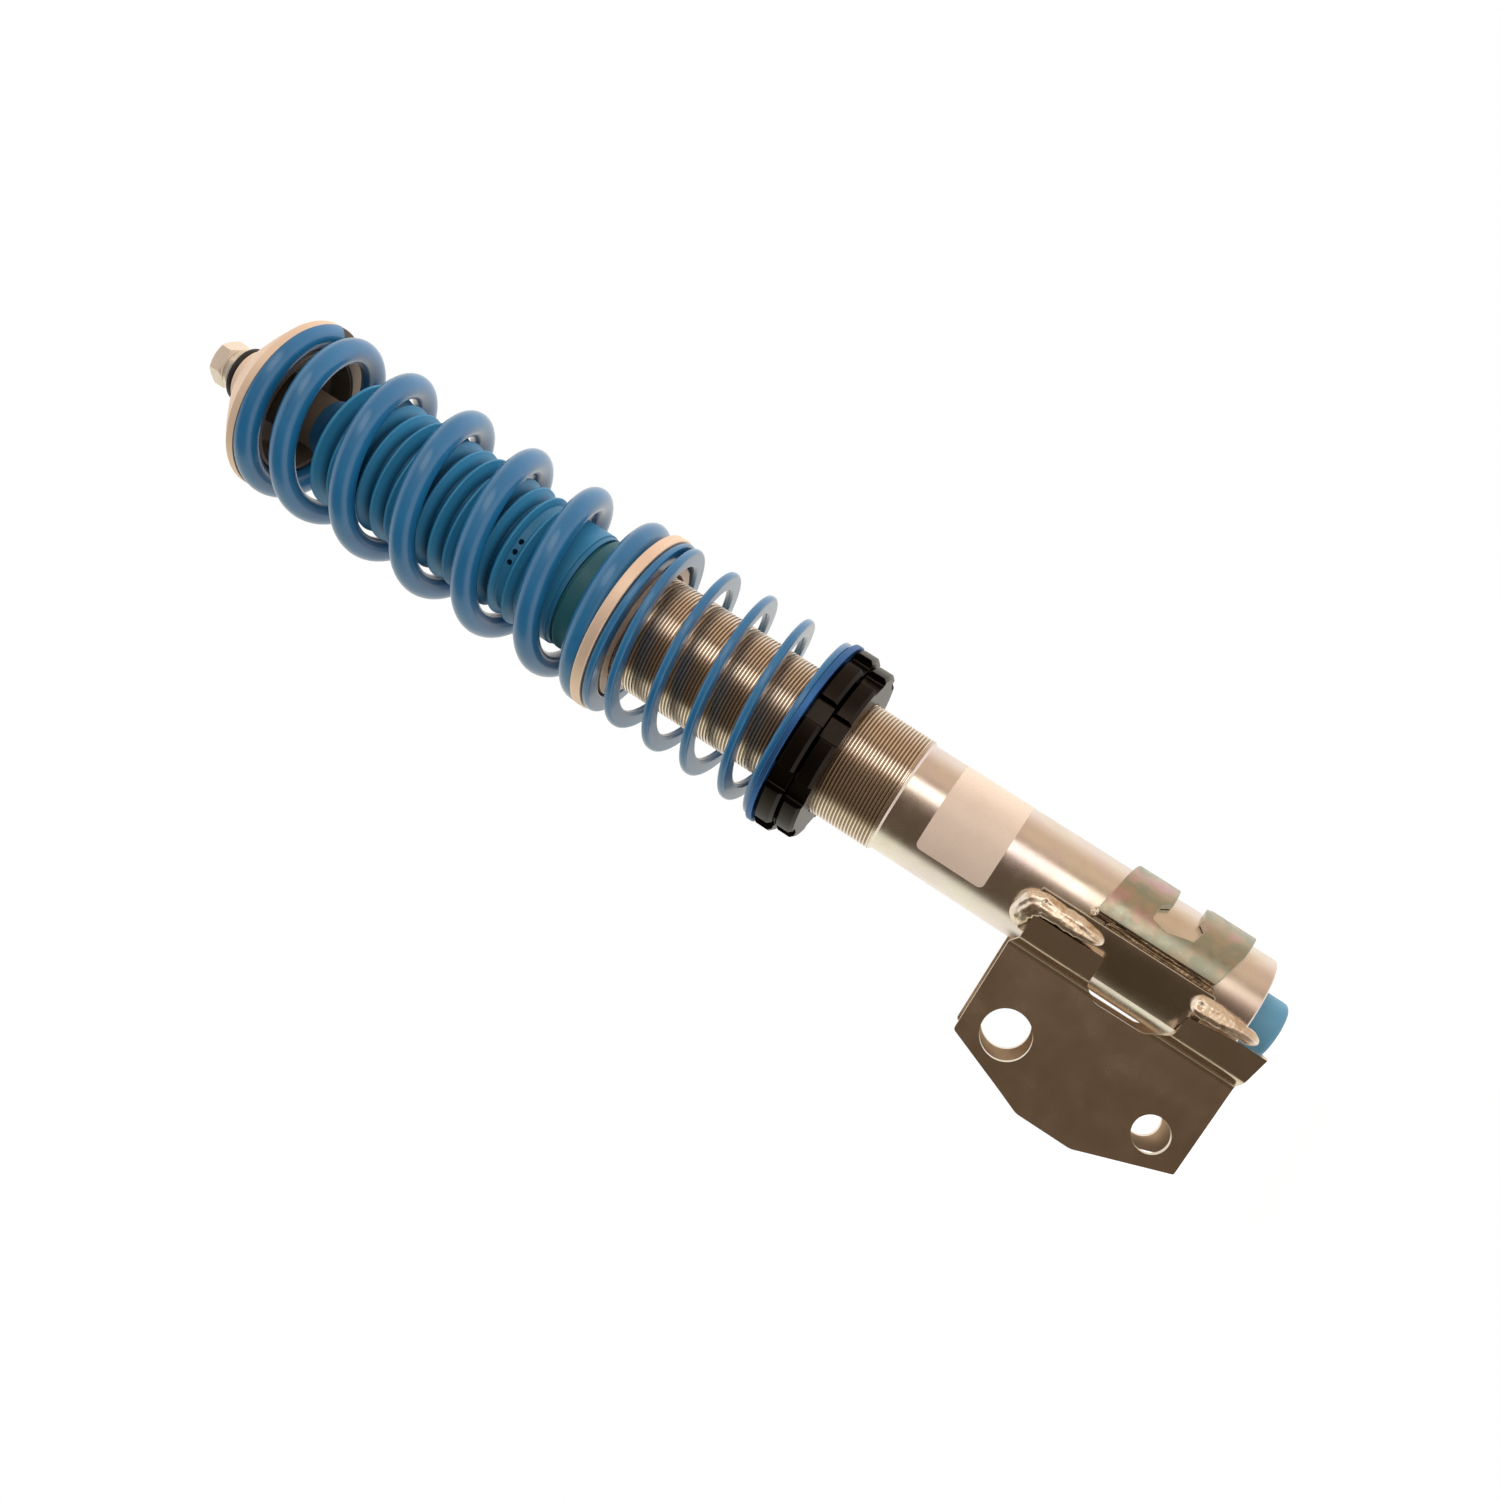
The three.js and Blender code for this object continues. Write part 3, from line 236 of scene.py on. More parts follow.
# %% Add and set nodes
def plug(node, inputs):
    """Sets inputs by name or number: a value is kept, and another node's output is linked."""
    for key, value in dict(inputs).items():
        if isinstance(value, bpy.types.NodeSocket):
            node.id_data.links.new(value, node.inputs[key])
        else:
            node.inputs[key].default_value = value
    return node


def add_node(tree, kind, inputs=(), **settings):
    node = tree.nodes.new(kind)
    for key, value in settings.items():
        setattr(node, key, value)
    return plug(node, inputs)


def object_place(tree):
    """Object coordinates, in metres."""
    return add_node(tree, "ShaderNodeTexCoord").outputs["Object"]


def noise_value(tree, vector, scale, detail=3, rough=0.5):
    inputs = {"Vector": vector, "Scale": scale, "Detail": detail, "Roughness": rough}
    return add_node(tree, "ShaderNodeTexNoise", inputs).outputs["Fac"]


print("node helpers: plug, add_node, object_place, noise_value")


# %% Ranges and colours
def ranged(tree, value, low, high, to_low, to_high, curve="LINEAR"):
    inputs = {"Value": value, "From Min": low, "From Max": high, "To Min": to_low, "To Max": to_high}
    return add_node(tree, "ShaderNodeMapRange", inputs, interpolation_type=curve).outputs["Result"]


def ramp(tree, value, stops):
    node = add_node(tree, "ShaderNodeValToRGB")
    elements = node.color_ramp.elements
    while len(elements) < len(stops):
        elements.new(0.5)
    for element, (place, color) in zip(elements, stops):
        element.position = place
        element.color = (*color, 1)
    return plug(node, {"Fac": value}).outputs["Color"]


def srgb(red, green, blue):
    """A colour given as 0 to 255 in sRGB, as linear values."""
    def linear(c):
        c /= 255
        return c / 12.92 if c <= 0.04045 else ((c + 0.055) / 1.055) ** 2.4

    return tuple(linear(c) for c in (red, green, blue))


def tones(*colors):
    return [srgb(*color) for color in colors]


print("middle grey is", round(srgb(128, 128, 128)[0], 3), "as a linear value")


# %% Colour, roughness and relief of a surface
def new_material(name, inputs=()):
    material = bpy.data.materials.new(name)
    material.use_nodes = True
    tree = material.node_tree
    print("finish:", name)
    return material, tree, plug(tree.nodes["Principled BSDF"], inputs)


def tint(tree, shader, value, colors):
    """Base colour that runs through some colours, in even steps, while the value goes to 1."""
    stops = [(i / (len(colors) - 1), color) for i, color in enumerate(colors)]
    plug(shader, {"Base Color": ramp(tree, value, stops)})


def vary_roughness(tree, shader, value, rough, spread):
    """Roughness that follows a noise, whose values mostly lie between 0.3 and 0.7."""
    plug(shader, {"Roughness": ranged(tree, value, 0.3, 0.7, rough - spread, rough + spread)})


def relief(tree, shader, height, strength, depth):
    """Fine unevenness, as a bump with a depth in millimetres."""
    inputs = {"Height": height, "Strength": strength, "Distance": depth * MM}
    plug(shader, {"Normal": add_node(tree, "ShaderNodeBump", inputs).outputs["Normal"]})


print("a finish varies Base Color, Roughness and Normal")

# %% [markdown]
# ## Two effects that several finishes share
# No plating or paint has one even tone, so a slow noise drifts between a finish's tones. And a
# handled metal part has fine scratches, mostly along its length. Both could be copied into each
# material, but a node group is built once and placed where it is needed.


# %% Drift of a tone
def group_output(name, socket):
    tree = bpy.data.node_groups.new(name, "ShaderNodeTree")
    tree.interface.new_socket(socket, in_out="OUTPUT", socket_type="NodeSocketFloat")
    print("node group:", name)
    return tree, add_node(tree, "NodeGroupOutput")


def drift_group():
    """Slow drift of a plated or painted surface: one value from 0 to 1."""
    tree, leave = group_output("surface_drift", "Drift")
    tree.interface.new_socket("Scale", in_out="INPUT", socket_type="NodeSocketFloat")
    enter = add_node(tree, "NodeGroupInput")
    inputs = {"Vector": object_place(tree), "Scale": enter.outputs["Scale"]}
    inputs.update({"Detail": 4.0, "Roughness": 0.55, "Distortion": 0.6})
    wide = add_node(tree, "ShaderNodeTexNoise", inputs).outputs["Fac"]
    plug(leave, {"Drift": ranged(tree, wide, 0.3, 0.7, 0, 1)})
    return tree


DRIFT = drift_group()


def drift(tree, scale):
    return add_node(tree, "ShaderNodeGroup", {"Scale": scale}, node_tree=DRIFT).outputs["Drift"]


# %% Fine scratches
def stretched(tree, share):
    """Object coordinates, in which all noise is longer along Z: a share of 1 leaves it as it is."""
    inputs = {"Vector": object_place(tree), "Scale": (1, 1, share)}
    return add_node(tree, "ShaderNodeMapping", inputs).outputs["Vector"]


def scratch_group():
    """Fine scratches along Z, as a height: a noise that is stretched twentyfold."""
    tree, leave = group_output("fine_scratches", "Height")
    plug(leave, {"Height": noise_value(tree, stretched(tree, 0.05), 1100, 2, 0.6)})
    return tree


SCRATCHES = scratch_group()


def scratches(tree):
    return add_node(tree, "ShaderNodeGroup", node_tree=SCRATCHES).outputs["Height"]


# %% [markdown]
# ## Dressing a node
# A finished piece gets its material, rides on the body that carries it, and stands in for its node.
# Weighted normals come last: a flat face beside a rounded edge would otherwise shade as if it were
# bulged, and letting the large faces decide is cheaper than adding loops round each of them.


# %% Put a piece on its body
def apply_modifiers(piece):
    """Puts the evaluated mesh in the place of the piece's own."""
    bpy.context.view_layer.update()
    result = piece.evaluated_get(bpy.context.evaluated_depsgraph_get())
    mesh = bpy.data.meshes.new_from_object(result)
    piece.modifiers.clear()
    old = piece.data
    piece.data = mesh
    bpy.data.meshes.remove(old)


def weigh_normals(piece):
    modifier = piece.modifiers.new("weigh", "WEIGHTED_NORMAL")
    modifier.keep_sharp = True
    modifier.weight = 90
    apply_modifiers(piece)


def dress(piece, material, body, *nodes, slot=None):
    if not piece.data.materials:
        piece.data.materials.append(material)
    weigh_normals(piece)
    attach(piece, body)
    if nodes:
        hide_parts(*nodes)
    print(piece.name, len(piece.data.polygons), "faces")
    return piece


# %% [markdown]
# ## Tube
# The outer tube is drawn steel, plated with clear zinc: a slightly blurred mirror with warm and
# greenish patches. A cylinder with a solidify modifier would do for its wall. One turned outline
# also holds the bore, the chamfer below the thread and the plain core under the thread.


# %% Zinc plate
def plated(name, tints, drift_scale, rough, scratch=0.05, patch=0.05):
    """Plated metal whose tint drifts, with fine drawn lines."""
    material, tree, shader = new_material(name, {"Metallic": 1.0})
    tint(tree, shader, drift(tree, drift_scale), tints)
    blotch = noise_value(tree, object_place(tree), drift_scale * 4, 4, 0.6)
    vary_roughness(tree, shader, blotch, rough, patch)
    relief(tree, shader, scratches(tree), scratch, 0.04)
    return material


zinc_tints = tones((236, 222, 206), (244, 234, 222), (240, 226, 224), (228, 232, 218))
tube_zinc = plated("tube_zinc", zinc_tints, 26, 0.25, 0.012)

# %% Outer tube
SMOOTH_TUBE_R = 24.5
TUBE_BORE_R = 21.6
THREAD_PITCH = 1.5
THREAD_START = 169.4
THREAD_DEPTH = 0.55

crest, low, high = span("outer_tube")
root = crest - THREAD_DEPTH
core = root - 0.5
corners = [
    (TUBE_BORE_R, low, 0.3), (SMOOTH_TUBE_R, low, 0.9), (SMOOTH_TUBE_R, THREAD_START - 1.2, 0.4),
    (root + 0.1, THREAD_START - 0.4, 0.3), (root + 0.1, THREAD_START + 1),
    (core, THREAD_START + 1), (core, high - 1), (root, high - 1), (root, high, 0.3),
    (TUBE_BORE_R, high, 0.3),
]
tube = turned("outer_tube_skin", corners, 160)
dress(tube, tube_zinc, "housing", "outer_tube", slot="zinc_tube")

# %% [markdown]
# ## Thread
# The collar climbs on a fine thread of 1.5 mm pitch. Rings would look alike from afar, and a bump
# would stay flat at the outline, so this is a true helix: one turn of the thread's outline is spun
# with a rise of one pitch, and copied upwards, twice as far each time. Two flat cuts end it.


# %% Thread finish, by radius
def axis_distance(tree):
    """How far a point lies from the strut's axis, in metres."""
    inputs = {0: object_place(tree), 1: (1, 1, 0)}
    flat = add_node(tree, "ShaderNodeVectorMath", inputs, operation="MULTIPLY").outputs[0]
    return add_node(tree, "ShaderNodeVectorMath", {0: flat}, operation="LENGTH").outputs["Value"]


def tint_by_radius(tree, shader, low, high, stops):
    """Base colour by how far a point lies between two radii."""
    share = ranged(tree, axis_distance(tree), low * MM, high * MM, 0, 1)
    plug(shader, {"Base Color": ramp(tree, share, stops)})


def grooved(name, crest_color, root_shade):
    """Plated thread: bright crests, and painted shade that darkens the grooves with their depth."""
    material, tree, shader = new_material(name, {"Metallic": 1.0})
    crest = span("outer_tube")[0]
    stops = [(0.0, root_shade), (0.45, root_shade), (1.0, crest_color)]
    tint_by_radius(tree, shader, crest - THREAD_DEPTH, crest - THREAD_DEPTH * 0.1, stops)
    plug(shader, {"Roughness": ranged(tree, drift(tree, 40), 0, 1, 0.2, 0.3)})
    return material


# the darker root colour is painted shade in the thread's grooves
thread_zinc = grooved("thread_zinc", srgb(244, 230, 214), srgb(176, 156, 134))


# %% One turn, copied up the tube
def thread_turns(profile, base, top, steps=96):
    """A profile of (radius, height) points wound from a base height to past a top height."""
    bm = bmesh.new()
    verts = [bm.verts.new((r * MM, 0, (base + z) * MM)) for r, z in profile]
    edges = [bm.edges.new(pair) for pair in zip(verts, verts[1:])]
    full_spin(bm, verts + edges, steps, THREAD_PITCH * MM / steps, merge=False)
    copies = 1
    while copies * THREAD_PITCH < top - base:
        made = bmesh.ops.duplicate(bm, geom=all_geometry(bm))
        lift = (0, 0, THREAD_PITCH * MM * copies)
        bmesh.ops.translate(bm, verts=new_verts(made), vec=lift)
        copies *= 2
    bmesh.ops.remove_doubles(bm, verts=bm.verts, dist=2e-6)
    return bm


def cut_flat(bm, height, up):
    """Cuts away what lies below a height, or above it where up is -1. Returns the cut's rim."""
    bmesh.ops.bisect_plane(
        bm,
        geom=all_geometry(bm),
        plane_co=(0, 0, height * MM),
        plane_no=(0, 0, up),
        clear_inner=True,
    )
    rim = [e for e in bm.edges if e.is_boundary]
    return [e for e in rim if max(abs(v.co.z - height * MM) for v in e.verts) < 1e-6]


turns = (span("outer_tube")[2] - THREAD_START) / THREAD_PITCH
print("the thread has about", round(turns), "turns")


# %% Thread
def tube_thread():
    crest, _, high = span("outer_tube")
    root = crest - THREAD_DEPTH
    top = high - 0.9
    flat = THREAD_PITCH * 0.36
    profile = (
        (root, 0), (root, flat / 3), (crest, THREAD_PITCH / 2 - flat / 2),
        (crest, THREAD_PITCH / 2 + flat / 2), (root, THREAD_PITCH),
    )
    bm = thread_turns(profile, THREAD_START - THREAD_PITCH, top)
    inside = root - 1
    loops = []
    for height, up in ((THREAD_START, 1), (top, -1)):
        grown = bmesh.ops.extrude_edge_only(bm, edges=cut_flat(bm, height, up))
        for vert in new_verts(grown):
            vert.co.xy = vert.co.xy.normalized() * inside * MM
        edges = [g for g in grown["geom"] if isinstance(g, bmesh.types.BMEdge)]
        loops += [edge for edge in edges if edge.is_boundary]
    bmesh.ops.bridge_loops(bm, edges=loops)
    return finish_mesh(bm, "tube_thread", 25)


dress(tube_thread(), thread_zinc, "housing", slot="zinc_tube")

# %% [markdown]
# ## Caps
# The end cap is a moulded plastic lid over the rod's nut, and the seal cap a rubber band over the
# tube's top. Either could be cut from a cylinder, but one turned outline is shorter. Moulded parts
# are dull and have a fine grain: one noise drives both the roughness and a shallow bump.


# %% Moulded rubber and plastic
def moulded_grain(tree, shader, rough, strength):
    texture = noise_value(tree, object_place(tree), 900, 4, 0.6)
    vary_roughness(tree, shader, texture, rough, 0.06)
    relief(tree, shader, texture, strength, 0.06)


def moulded(name, colors, rough, strength=0.15):
    material, tree, shader = new_material(name)
    tint(tree, shader, drift(tree, 45), colors)
    moulded_grain(tree, shader, rough, strength)
    return material


cap_plastic = moulded("cap_plastic", tones((84, 138, 168), (94, 150, 180)), 0.38, 0.08)
band_rubber = moulded("band_rubber", tones((30, 88, 98), (38, 98, 108)), 0.45)

# %% End cap
radius, low, high = span("end_cap")
wall = 1.5
corners = [
    (0, low), (radius, low, 2.4), (radius, high, 0.3), (radius - wall, high, 0.2),
    (radius - wall, low + wall), (0, low + wall),
]
cap = turned("end_cap_skin", corners, 96)
dress(cap, cap_plastic, "housing", "end_cap", slot="cap_plastic")

# %% Seal cap
# The rim sits on the tube's top, and a groove inside holds the wiper seal.
radius, low, high = span("seal_cap")
rim_low = span("outer_tube")[2] + SEAT_GAP
rim_high = 328.0
groove_low, groove_high, groove_r = 316.0, 322.0, 23.0
bore = 20.6
skirt = TUBE_BORE_R - SEAT_GAP
neck = 24.6
corners = [
    (bore, low), (skirt, low), (skirt, rim_low), (radius, rim_low, 0.4), (radius, rim_high, 0.9),
    (neck, rim_high, 0.2), (neck, high, 0.5), (bore, high), (bore, groove_high),
    (groove_r, groove_high), (groove_r, groove_low), (bore, groove_low),
]
seal = turned("seal_cap_skin", corners)
dress(seal, band_rubber, "housing", "seal_cap", slot="boot_rubber")

# %% [markdown]
# ## Label
# A thin film is wrapped on the tube, a warm white patch with rounded corners. It could be a patch
# in the tube's material, but a sheet of its own keeps its edge crisp. Like the steel sheets further
# down, it is cut flat, given its thickness, bevelled, and then bent.

# %% Bend a sheet round the axis
STRIP = 2  # degrees between two bends


def curved_sheet(name, outline, radius, thick, soft=0.5, parts=4):
    """A sheet cut to an outline of (direction, height, corner) and bent round the axis."""
    arc = math.radians(1) * radius
    flat = rounded([(d * arc, z, c) for d, z, c in outline], parts)
    bm = bmesh.new()
    bm.faces.new([bm.verts.new((s, z, 0)) for s, z in flat])
    low = min(s for s, _ in flat)
    high = max(s for s, _ in flat)
    strip = STRIP * arc
    for cut in range(1, int((high - low) / strip)):
        place = Vector((low + strip * cut, 0, 0))
        bmesh.ops.bisect_plane(bm, geom=all_geometry(bm), plane_co=place, plane_no=(1, 0, 0))
    grown = bmesh.ops.extrude_face_region(bm, geom=bm.faces[:])
    bmesh.ops.translate(bm, verts=new_verts(grown), vec=(0, 0, thick))
    bmesh.ops.recalc_face_normals(bm, faces=bm.faces)
    rims = [e for e in edges_over(bm, 68.75) if abs(e.verts[0].co.z - e.verts[1].co.z) < 1e-6]
    round_edges(bm, rims, soft)
    for vert in bm.verts:
        s, z, out = vert.co
        vert.co = on_tube(radius + out, math.degrees(s / radius), z)
    return finish_mesh(bm, name)


print("a sheet is bent in strips of", STRIP, "degrees")

# %% Label
LABEL = {"low": 122.3, "high": 152.9, "start": 56.0, "end": 184.0, "corner": 2.5}
LABEL_T = 0.12
label_film = moulded("label_film", tones((218, 197, 180), (224, 204, 188)), 0.3, 0.02)


def patch_outline(low, high, start, end, corner):
    return [(start, low, corner), (end, low, corner), (end, high, corner), (start, high, corner)]


outline = patch_outline(**LABEL)
film = curved_sheet("label_plate", outline, SMOOTH_TUBE_R + 0.02, LABEL_T, 0.04, parts=6)
dress(film, label_film, "housing")

# %% [markdown]
# ## Dust boot
# A rubber bellows keeps dirt off the damper. Sleeve, ribs and the stepped collar round the neck
# are one outline, in which a rib is a single rounded corner. A bump could draw ribs, but not at the
# boot's edge. The colour follows the radius: painted shade darkens the valleys. Three vents are
# drilled.

# %% Bellows rubber
RIB_PITCH = 7.9
FIRST_RIB = 352.0
RIBS = 13
RIB_R = 29.9
VALLEY_R = 23.0


def ribbed(name, crest_color, valley_shade, rough):
    """Rubber bellows with a fine moulded grain, and painted shade that darkens the valleys."""
    material, tree, shader = new_material(name)
    stops = [(0.0, valley_shade), (0.15, valley_shade), (0.6, crest_color), (1.0, crest_color)]
    tint_by_radius(tree, shader, VALLEY_R, RIB_R, stops)
    moulded_grain(tree, shader, rough, 0.12)
    return material


# the valley colour is painted shade, darker than the crests
boot_rubber = ribbed("boot_rubber", srgb(48, 128, 170), srgb(20, 76, 110), 0.42)


# %% Cut a piece, and round the cut edges
def trim(piece, tool, operation):
    """A boolean between two objects, applied at once. The tool is used up."""
    modifier = piece.modifiers.new("trim", "BOOLEAN")
    modifier.operation = operation
    modifier.solver = "EXACT"
    modifier.object = tool
    apply_modifiers(piece)
    bpy.data.objects.remove(tool)


def reopen(piece):
    """A piece's mesh as a bmesh. The piece itself is used up."""
    bm = bmesh.new()
    bm.from_mesh(piece.data)
    bpy.data.objects.remove(piece)
    return bm


CUT_EDGE = 51.57


def soften(piece, width, sharp=32):
    """Merges a cut piece's flat faces, then rounds its edges by a width in millimetres."""
    name = piece.name
    bm = reopen(piece)
    bmesh.ops.remove_doubles(bm, verts=bm.verts, dist=5e-6)
    limit = math.radians(1)
    bmesh.ops.dissolve_limit(bm, angle_limit=limit, verts=bm.verts, edges=bm.edges)
    round_edges(bm, edges_over(bm, CUT_EDGE), width * MM, clamp=True)
    return finish_mesh(bm, name, sharp)


print("edges over", CUT_EDGE, "degrees get rounded")

# %% Vent drill
VENTS = (76, 87, 98)
VENT_R = 1.25
VENT_FLOOR_R = 25.7


def vent_drill(direction):
    """A pin that points outwards through the boot's wall, to cut a vent with."""
    bm = bmesh.new()
    bmesh.ops.create_cone(
        bm, cap_ends=True, segments=32, radius1=VENT_R * MM, radius2=VENT_R * MM, depth=8 * MM
    )
    out = on_tube(1, direction, 0).normalized()
    turn = Vector((0, 0, 1)).rotation_difference(out).to_matrix().to_4x4()
    place = Matrix.Translation(on_tube(VENT_FLOOR_R, direction, FIRST_RIB + RIB_PITCH / 2))
    bm.transform(place @ turn)
    return finish_mesh(bm, "vent_drill")


print("vents:", len(VENTS), "holes of", 2 * VENT_R, "mm")

# %% Dust boot
NECK_R = 12.5
BOOT_BORE_R = 21.5
SLEEVE_R = 26.8


def boot_ribs():
    """Corners of the ribs and valleys. The vents sit in the first valley, which is flat."""
    corners = []
    for i in range(RIBS):
        height = FIRST_RIB + RIB_PITCH * i
        radius = RIB_R - (0.9 if i == 1 else 0) + 0.25 * math.sin(i * 1.7)
        corners.append((radius, height, 0.75))
        valley = height + RIB_PITCH / 2
        if i == 0:
            corners.append((VENT_FLOOR_R, valley - 1.8, 0.6))
            corners.append((VENT_FLOOR_R, valley + 1.8, 0.6))
        else:
            corners.append((VALLEY_R, valley, 0.6))
    return corners


def dust_boot():
    _, low, high = span("dust_boot")
    web_low = span("damper_cylinder")[2] + SEAT_GAP
    first_valley = FIRST_RIB - RIB_PITCH / 2
    neck = NECK_R + SEAT_GAP
    seat_r = 24.9
    corners = [
        (seat_r, low, 0.3), (26.1, low, 0.4), (26.1, low + 2.0, 0.2), (SLEEVE_R, low + 2.4, 0.3),
        (SLEEVE_R, first_valley - 1, 1.2), (VALLEY_R + 0.8, first_valley, 0.8), *boot_ribs(),
        (30.0, high - 1.6, 0.8), (30.0, high, 0.9), (15.8, high + 0.4, 1.0),
        (15.2, high + 4.8, 0.4), (14.4, high + 5.2, 0.3), (14.2, high + 9.8, 0.4),
        (13.5, high + 10.2, 0.3), (13.4, high + 15.4, 0.4), (neck, high + 15.4, 0.1),
        (neck, web_low, 0.2), (BOOT_BORE_R, web_low, 0.4), (BOOT_BORE_R, 347.5, 0.4),
        (seat_r, 344.3, 0.4),
    ]
    boot = turned("dust_boot_skin", corners, 144, parts=4, sharp=60)
    for direction in VENTS:
        trim(boot, vent_drill(direction), "DIFFERENCE")
    return soften(boot, 0.2, 60)


boot = dress(dust_boot(), boot_rubber, "housing", "dust_boot", slot="boot_rubber")

# %% [markdown]
# ## Knuckle ears
# Two ears of bent steel sheet grip the wheel's knuckle. Such a sheet could be bent in a mesh, edge
# by edge. It is quicker to cut it from a block: the bent plan is extruded upwards, the side outline
# is cut out of that, then come the bolt holes and the room for the tube.


# %% Extrude outlines
def prism(name, outlines, low, high, axis):
    """Flat outlines extruded along Z, or drawn in x and z and extruded along Y."""
    bm = bmesh.new()

    def place(a, b, c):
        return Vector((a, b, c)) * MM if axis == "Z" else Vector((a, c, b)) * MM

    faces = [bm.faces.new([bm.verts.new(place(a, b, low)) for a, b in line]) for line in outlines]
    grown = bmesh.ops.extrude_face_region(bm, geom=faces)
    bmesh.ops.translate(bm, verts=new_verts(grown), vec=place(0, 0, high - low))
    return finish_mesh(bm, name)


def beside(path, distance):
    """A path moved sideways, to the left of its direction, with mitred corners."""
    points = [Vector(p) for p in path]

    def left(a, b):
        along = (b - a).normalized()
        return Vector((-along.y, along.x))

    moved = []
    for i, point in enumerate(points):
        first = left(points[i - 1], point) if i else left(point, points[1])
        second = left(point, points[i + 1]) if i < len(points) - 1 else first
        middle = (first + second).normalized()
        moved.append(tuple(point + middle * distance / middle.dot(first)))
    return moved


print("a line moved sideways:", beside([(0, 0), (10, 0)], 2))

# %% Sizes of an ear
EAR_T = 4.0
EAR_OUTER_Y = 19.1
EAR_BEND_X = 24.2
FLANGE_BEND = (20.8, 27.1)
FLANGE_TIP = (9.0, 30.2)
BENDS_OUTSIDE = (0, 2.5, 4.5, 0)
BENDS_INSIDE = (0, 6.0, 1.5, 0)
DOUBLER_T = 3.1
# Bolt holes: x, z, radius
EAR_HOLES = ((55.7, 84.4, 10.25), (56.5, 20.0, 7.5))
# Side outline: x, z, corner radius
EAR_OUTLINE = (
    (10.2, 100.6, 0.8), (21.0, 100.6, 2), (24.8, 102.9, 1), (65.05, 102.2, 1.5), (75.0, 75.0, 6),
    (78.7, 65.4, 8), (78.3, 41.6, 9), (64.4, 5.4, 1), (24.1, 4.7, 2), (7.6, 2.3, 0.8),
    (11.4, 33.5, 1), (20.6, 34.6, 4), (26.4, 42.1, 6), (26.7, 63.8, 6), (21.9, 70.2, 3),
    (10.2, 70.4, 0.8),
)
print("the ear's outline has", len(EAR_OUTLINE), "corners")


# %% Near ear
def knuckle_ear(name):
    outside = [(80, EAR_OUTER_Y), (EAR_BEND_X, EAR_OUTER_Y), FLANGE_BEND, FLANGE_TIP]
    inside = beside(outside, EAR_T)
    plan = [(*p, r) for p, r in zip(outside, BENDS_OUTSIDE)]
    plan += [(*p, r) for p, r in zip(inside, BENDS_INSIDE)][::-1]
    ear = prism(name, [rounded(plan, 8)], -2, 110, "Z")
    trim(ear, prism("side", [rounded(EAR_OUTLINE, 6)], 5, 40, "Y"), "INTERSECT")
    holes = [circle(x, z, radius, 64) for x, z, radius in EAR_HOLES]
    trim(ear, prism("holes", holes, 0, 45, "Y"), "DIFFERENCE")
    room = SMOOTH_TUBE_R + SEAT_GAP + DOUBLER_T + SEAT_GAP
    trim(ear, prism("room", [circle(0, 0, room, 96)], -5, 115, "Z"), "DIFFERENCE")
    return soften(ear, 0.75)


bracket_zinc = plated("bracket_zinc", tones((226, 208, 188), (238, 222, 204)), 22, 0.24, 0.03)
near_ear = knuckle_ear("ear_near_skin")
dress(near_ear, bracket_zinc, "housing", "knuckle_ear_near", slot="bracket_zinc")

# %% [markdown]
# ## Doublers
# Under each ear a thick sheet is welded to the tube, to spread the load. A slice of a wider tube
# would do, but its corners would be sharp, so it is a curved sheet like the label. It has the ear's
# plating and lies in the ear's shade, so its tint is darker.

# %% Near doubler
DOUBLER = {"low": 29.0, "high": 103.6, "start": 48.0, "end": 91.0, "corner": 1}


def doubler(name):
    return curved_sheet(name, patch_outline(**DOUBLER), SMOOTH_TUBE_R + SEAT_GAP, DOUBLER_T)


doubler_zinc = plated("doubler_zinc", tones((188, 176, 160), (198, 186, 170)), 22, 0.26, 0.02)
near_doubler = doubler("doubler_near_skin")
dress(near_doubler, doubler_zinc, "housing", "doubler_near", slot="bracket_zinc")

# %% [markdown]
# ## Weld beads
# A welder leaves a round bead with ripples, streaks and small pits. It could be sculpted, or a bump
# on a plain tube. Here a grid is rolled up along a path, and each vertex is lifted by a noise: the
# relief then shows at the outline too, and a seed gives each bead a skin of its own.


# %% Roll a grid
def wrapped(name, along, around, place, sharp=40):
    """A grid rolled into a tube with closed ends. place(u, v) gives a point in millimetres for a
    share u of the way along the tube and a share v of the way round it."""
    bm = bmesh.new()
    bmesh.ops.create_grid(bm, x_segments=along, y_segments=around, size=0.5)
    for vert in bm.verts:
        vert.co = place(vert.co.x + 0.5, vert.co.y + 0.5) * MM
    bmesh.ops.remove_doubles(bm, verts=bm.verts, dist=MERGE)
    bmesh.ops.holes_fill(bm, edges=[e for e in bm.edges if e.is_boundary])
    return finish_mesh(bm, name, sharp)


def follow(path):
    """Length of a path of (point, outward direction), and a function that gives the point, the
    direction across and the direction outwards, so far along the path."""
    points = [Vector(p) for p, _ in path]
    reach = [0.0]
    for a, b in zip(points, points[1:]):
        reach.append(reach[-1] + (b - a).length)

    def place(at):
        k = min(max(j for j in range(len(reach)) if reach[j] <= at + 1e-6), len(points) - 2)
        share = (at - reach[k]) / (reach[k + 1] - reach[k])
        centre = points[k].lerp(points[k + 1], share)
        out = Vector(path[k][1]).lerp(Vector(path[k + 1][1]), share).normalized()
        first = (points[k + 1] - points[max(k - 1, 0)]).normalized()
        last = (points[min(k + 2, len(points) - 1)] - points[k]).normalized()
        return centre, first.lerp(last, share).cross(out).normalized(), out

    return reach[-1], place


print("a path's length:", follow([((0, 0, 0), (0, 1, 0)), ((0, 0, 5), (0, 1, 0))])[0])

# %% Skin of a bead
RIPPLE_PITCH = 1.9
PIT_DEPTH = 0.45  # share of the bead's height


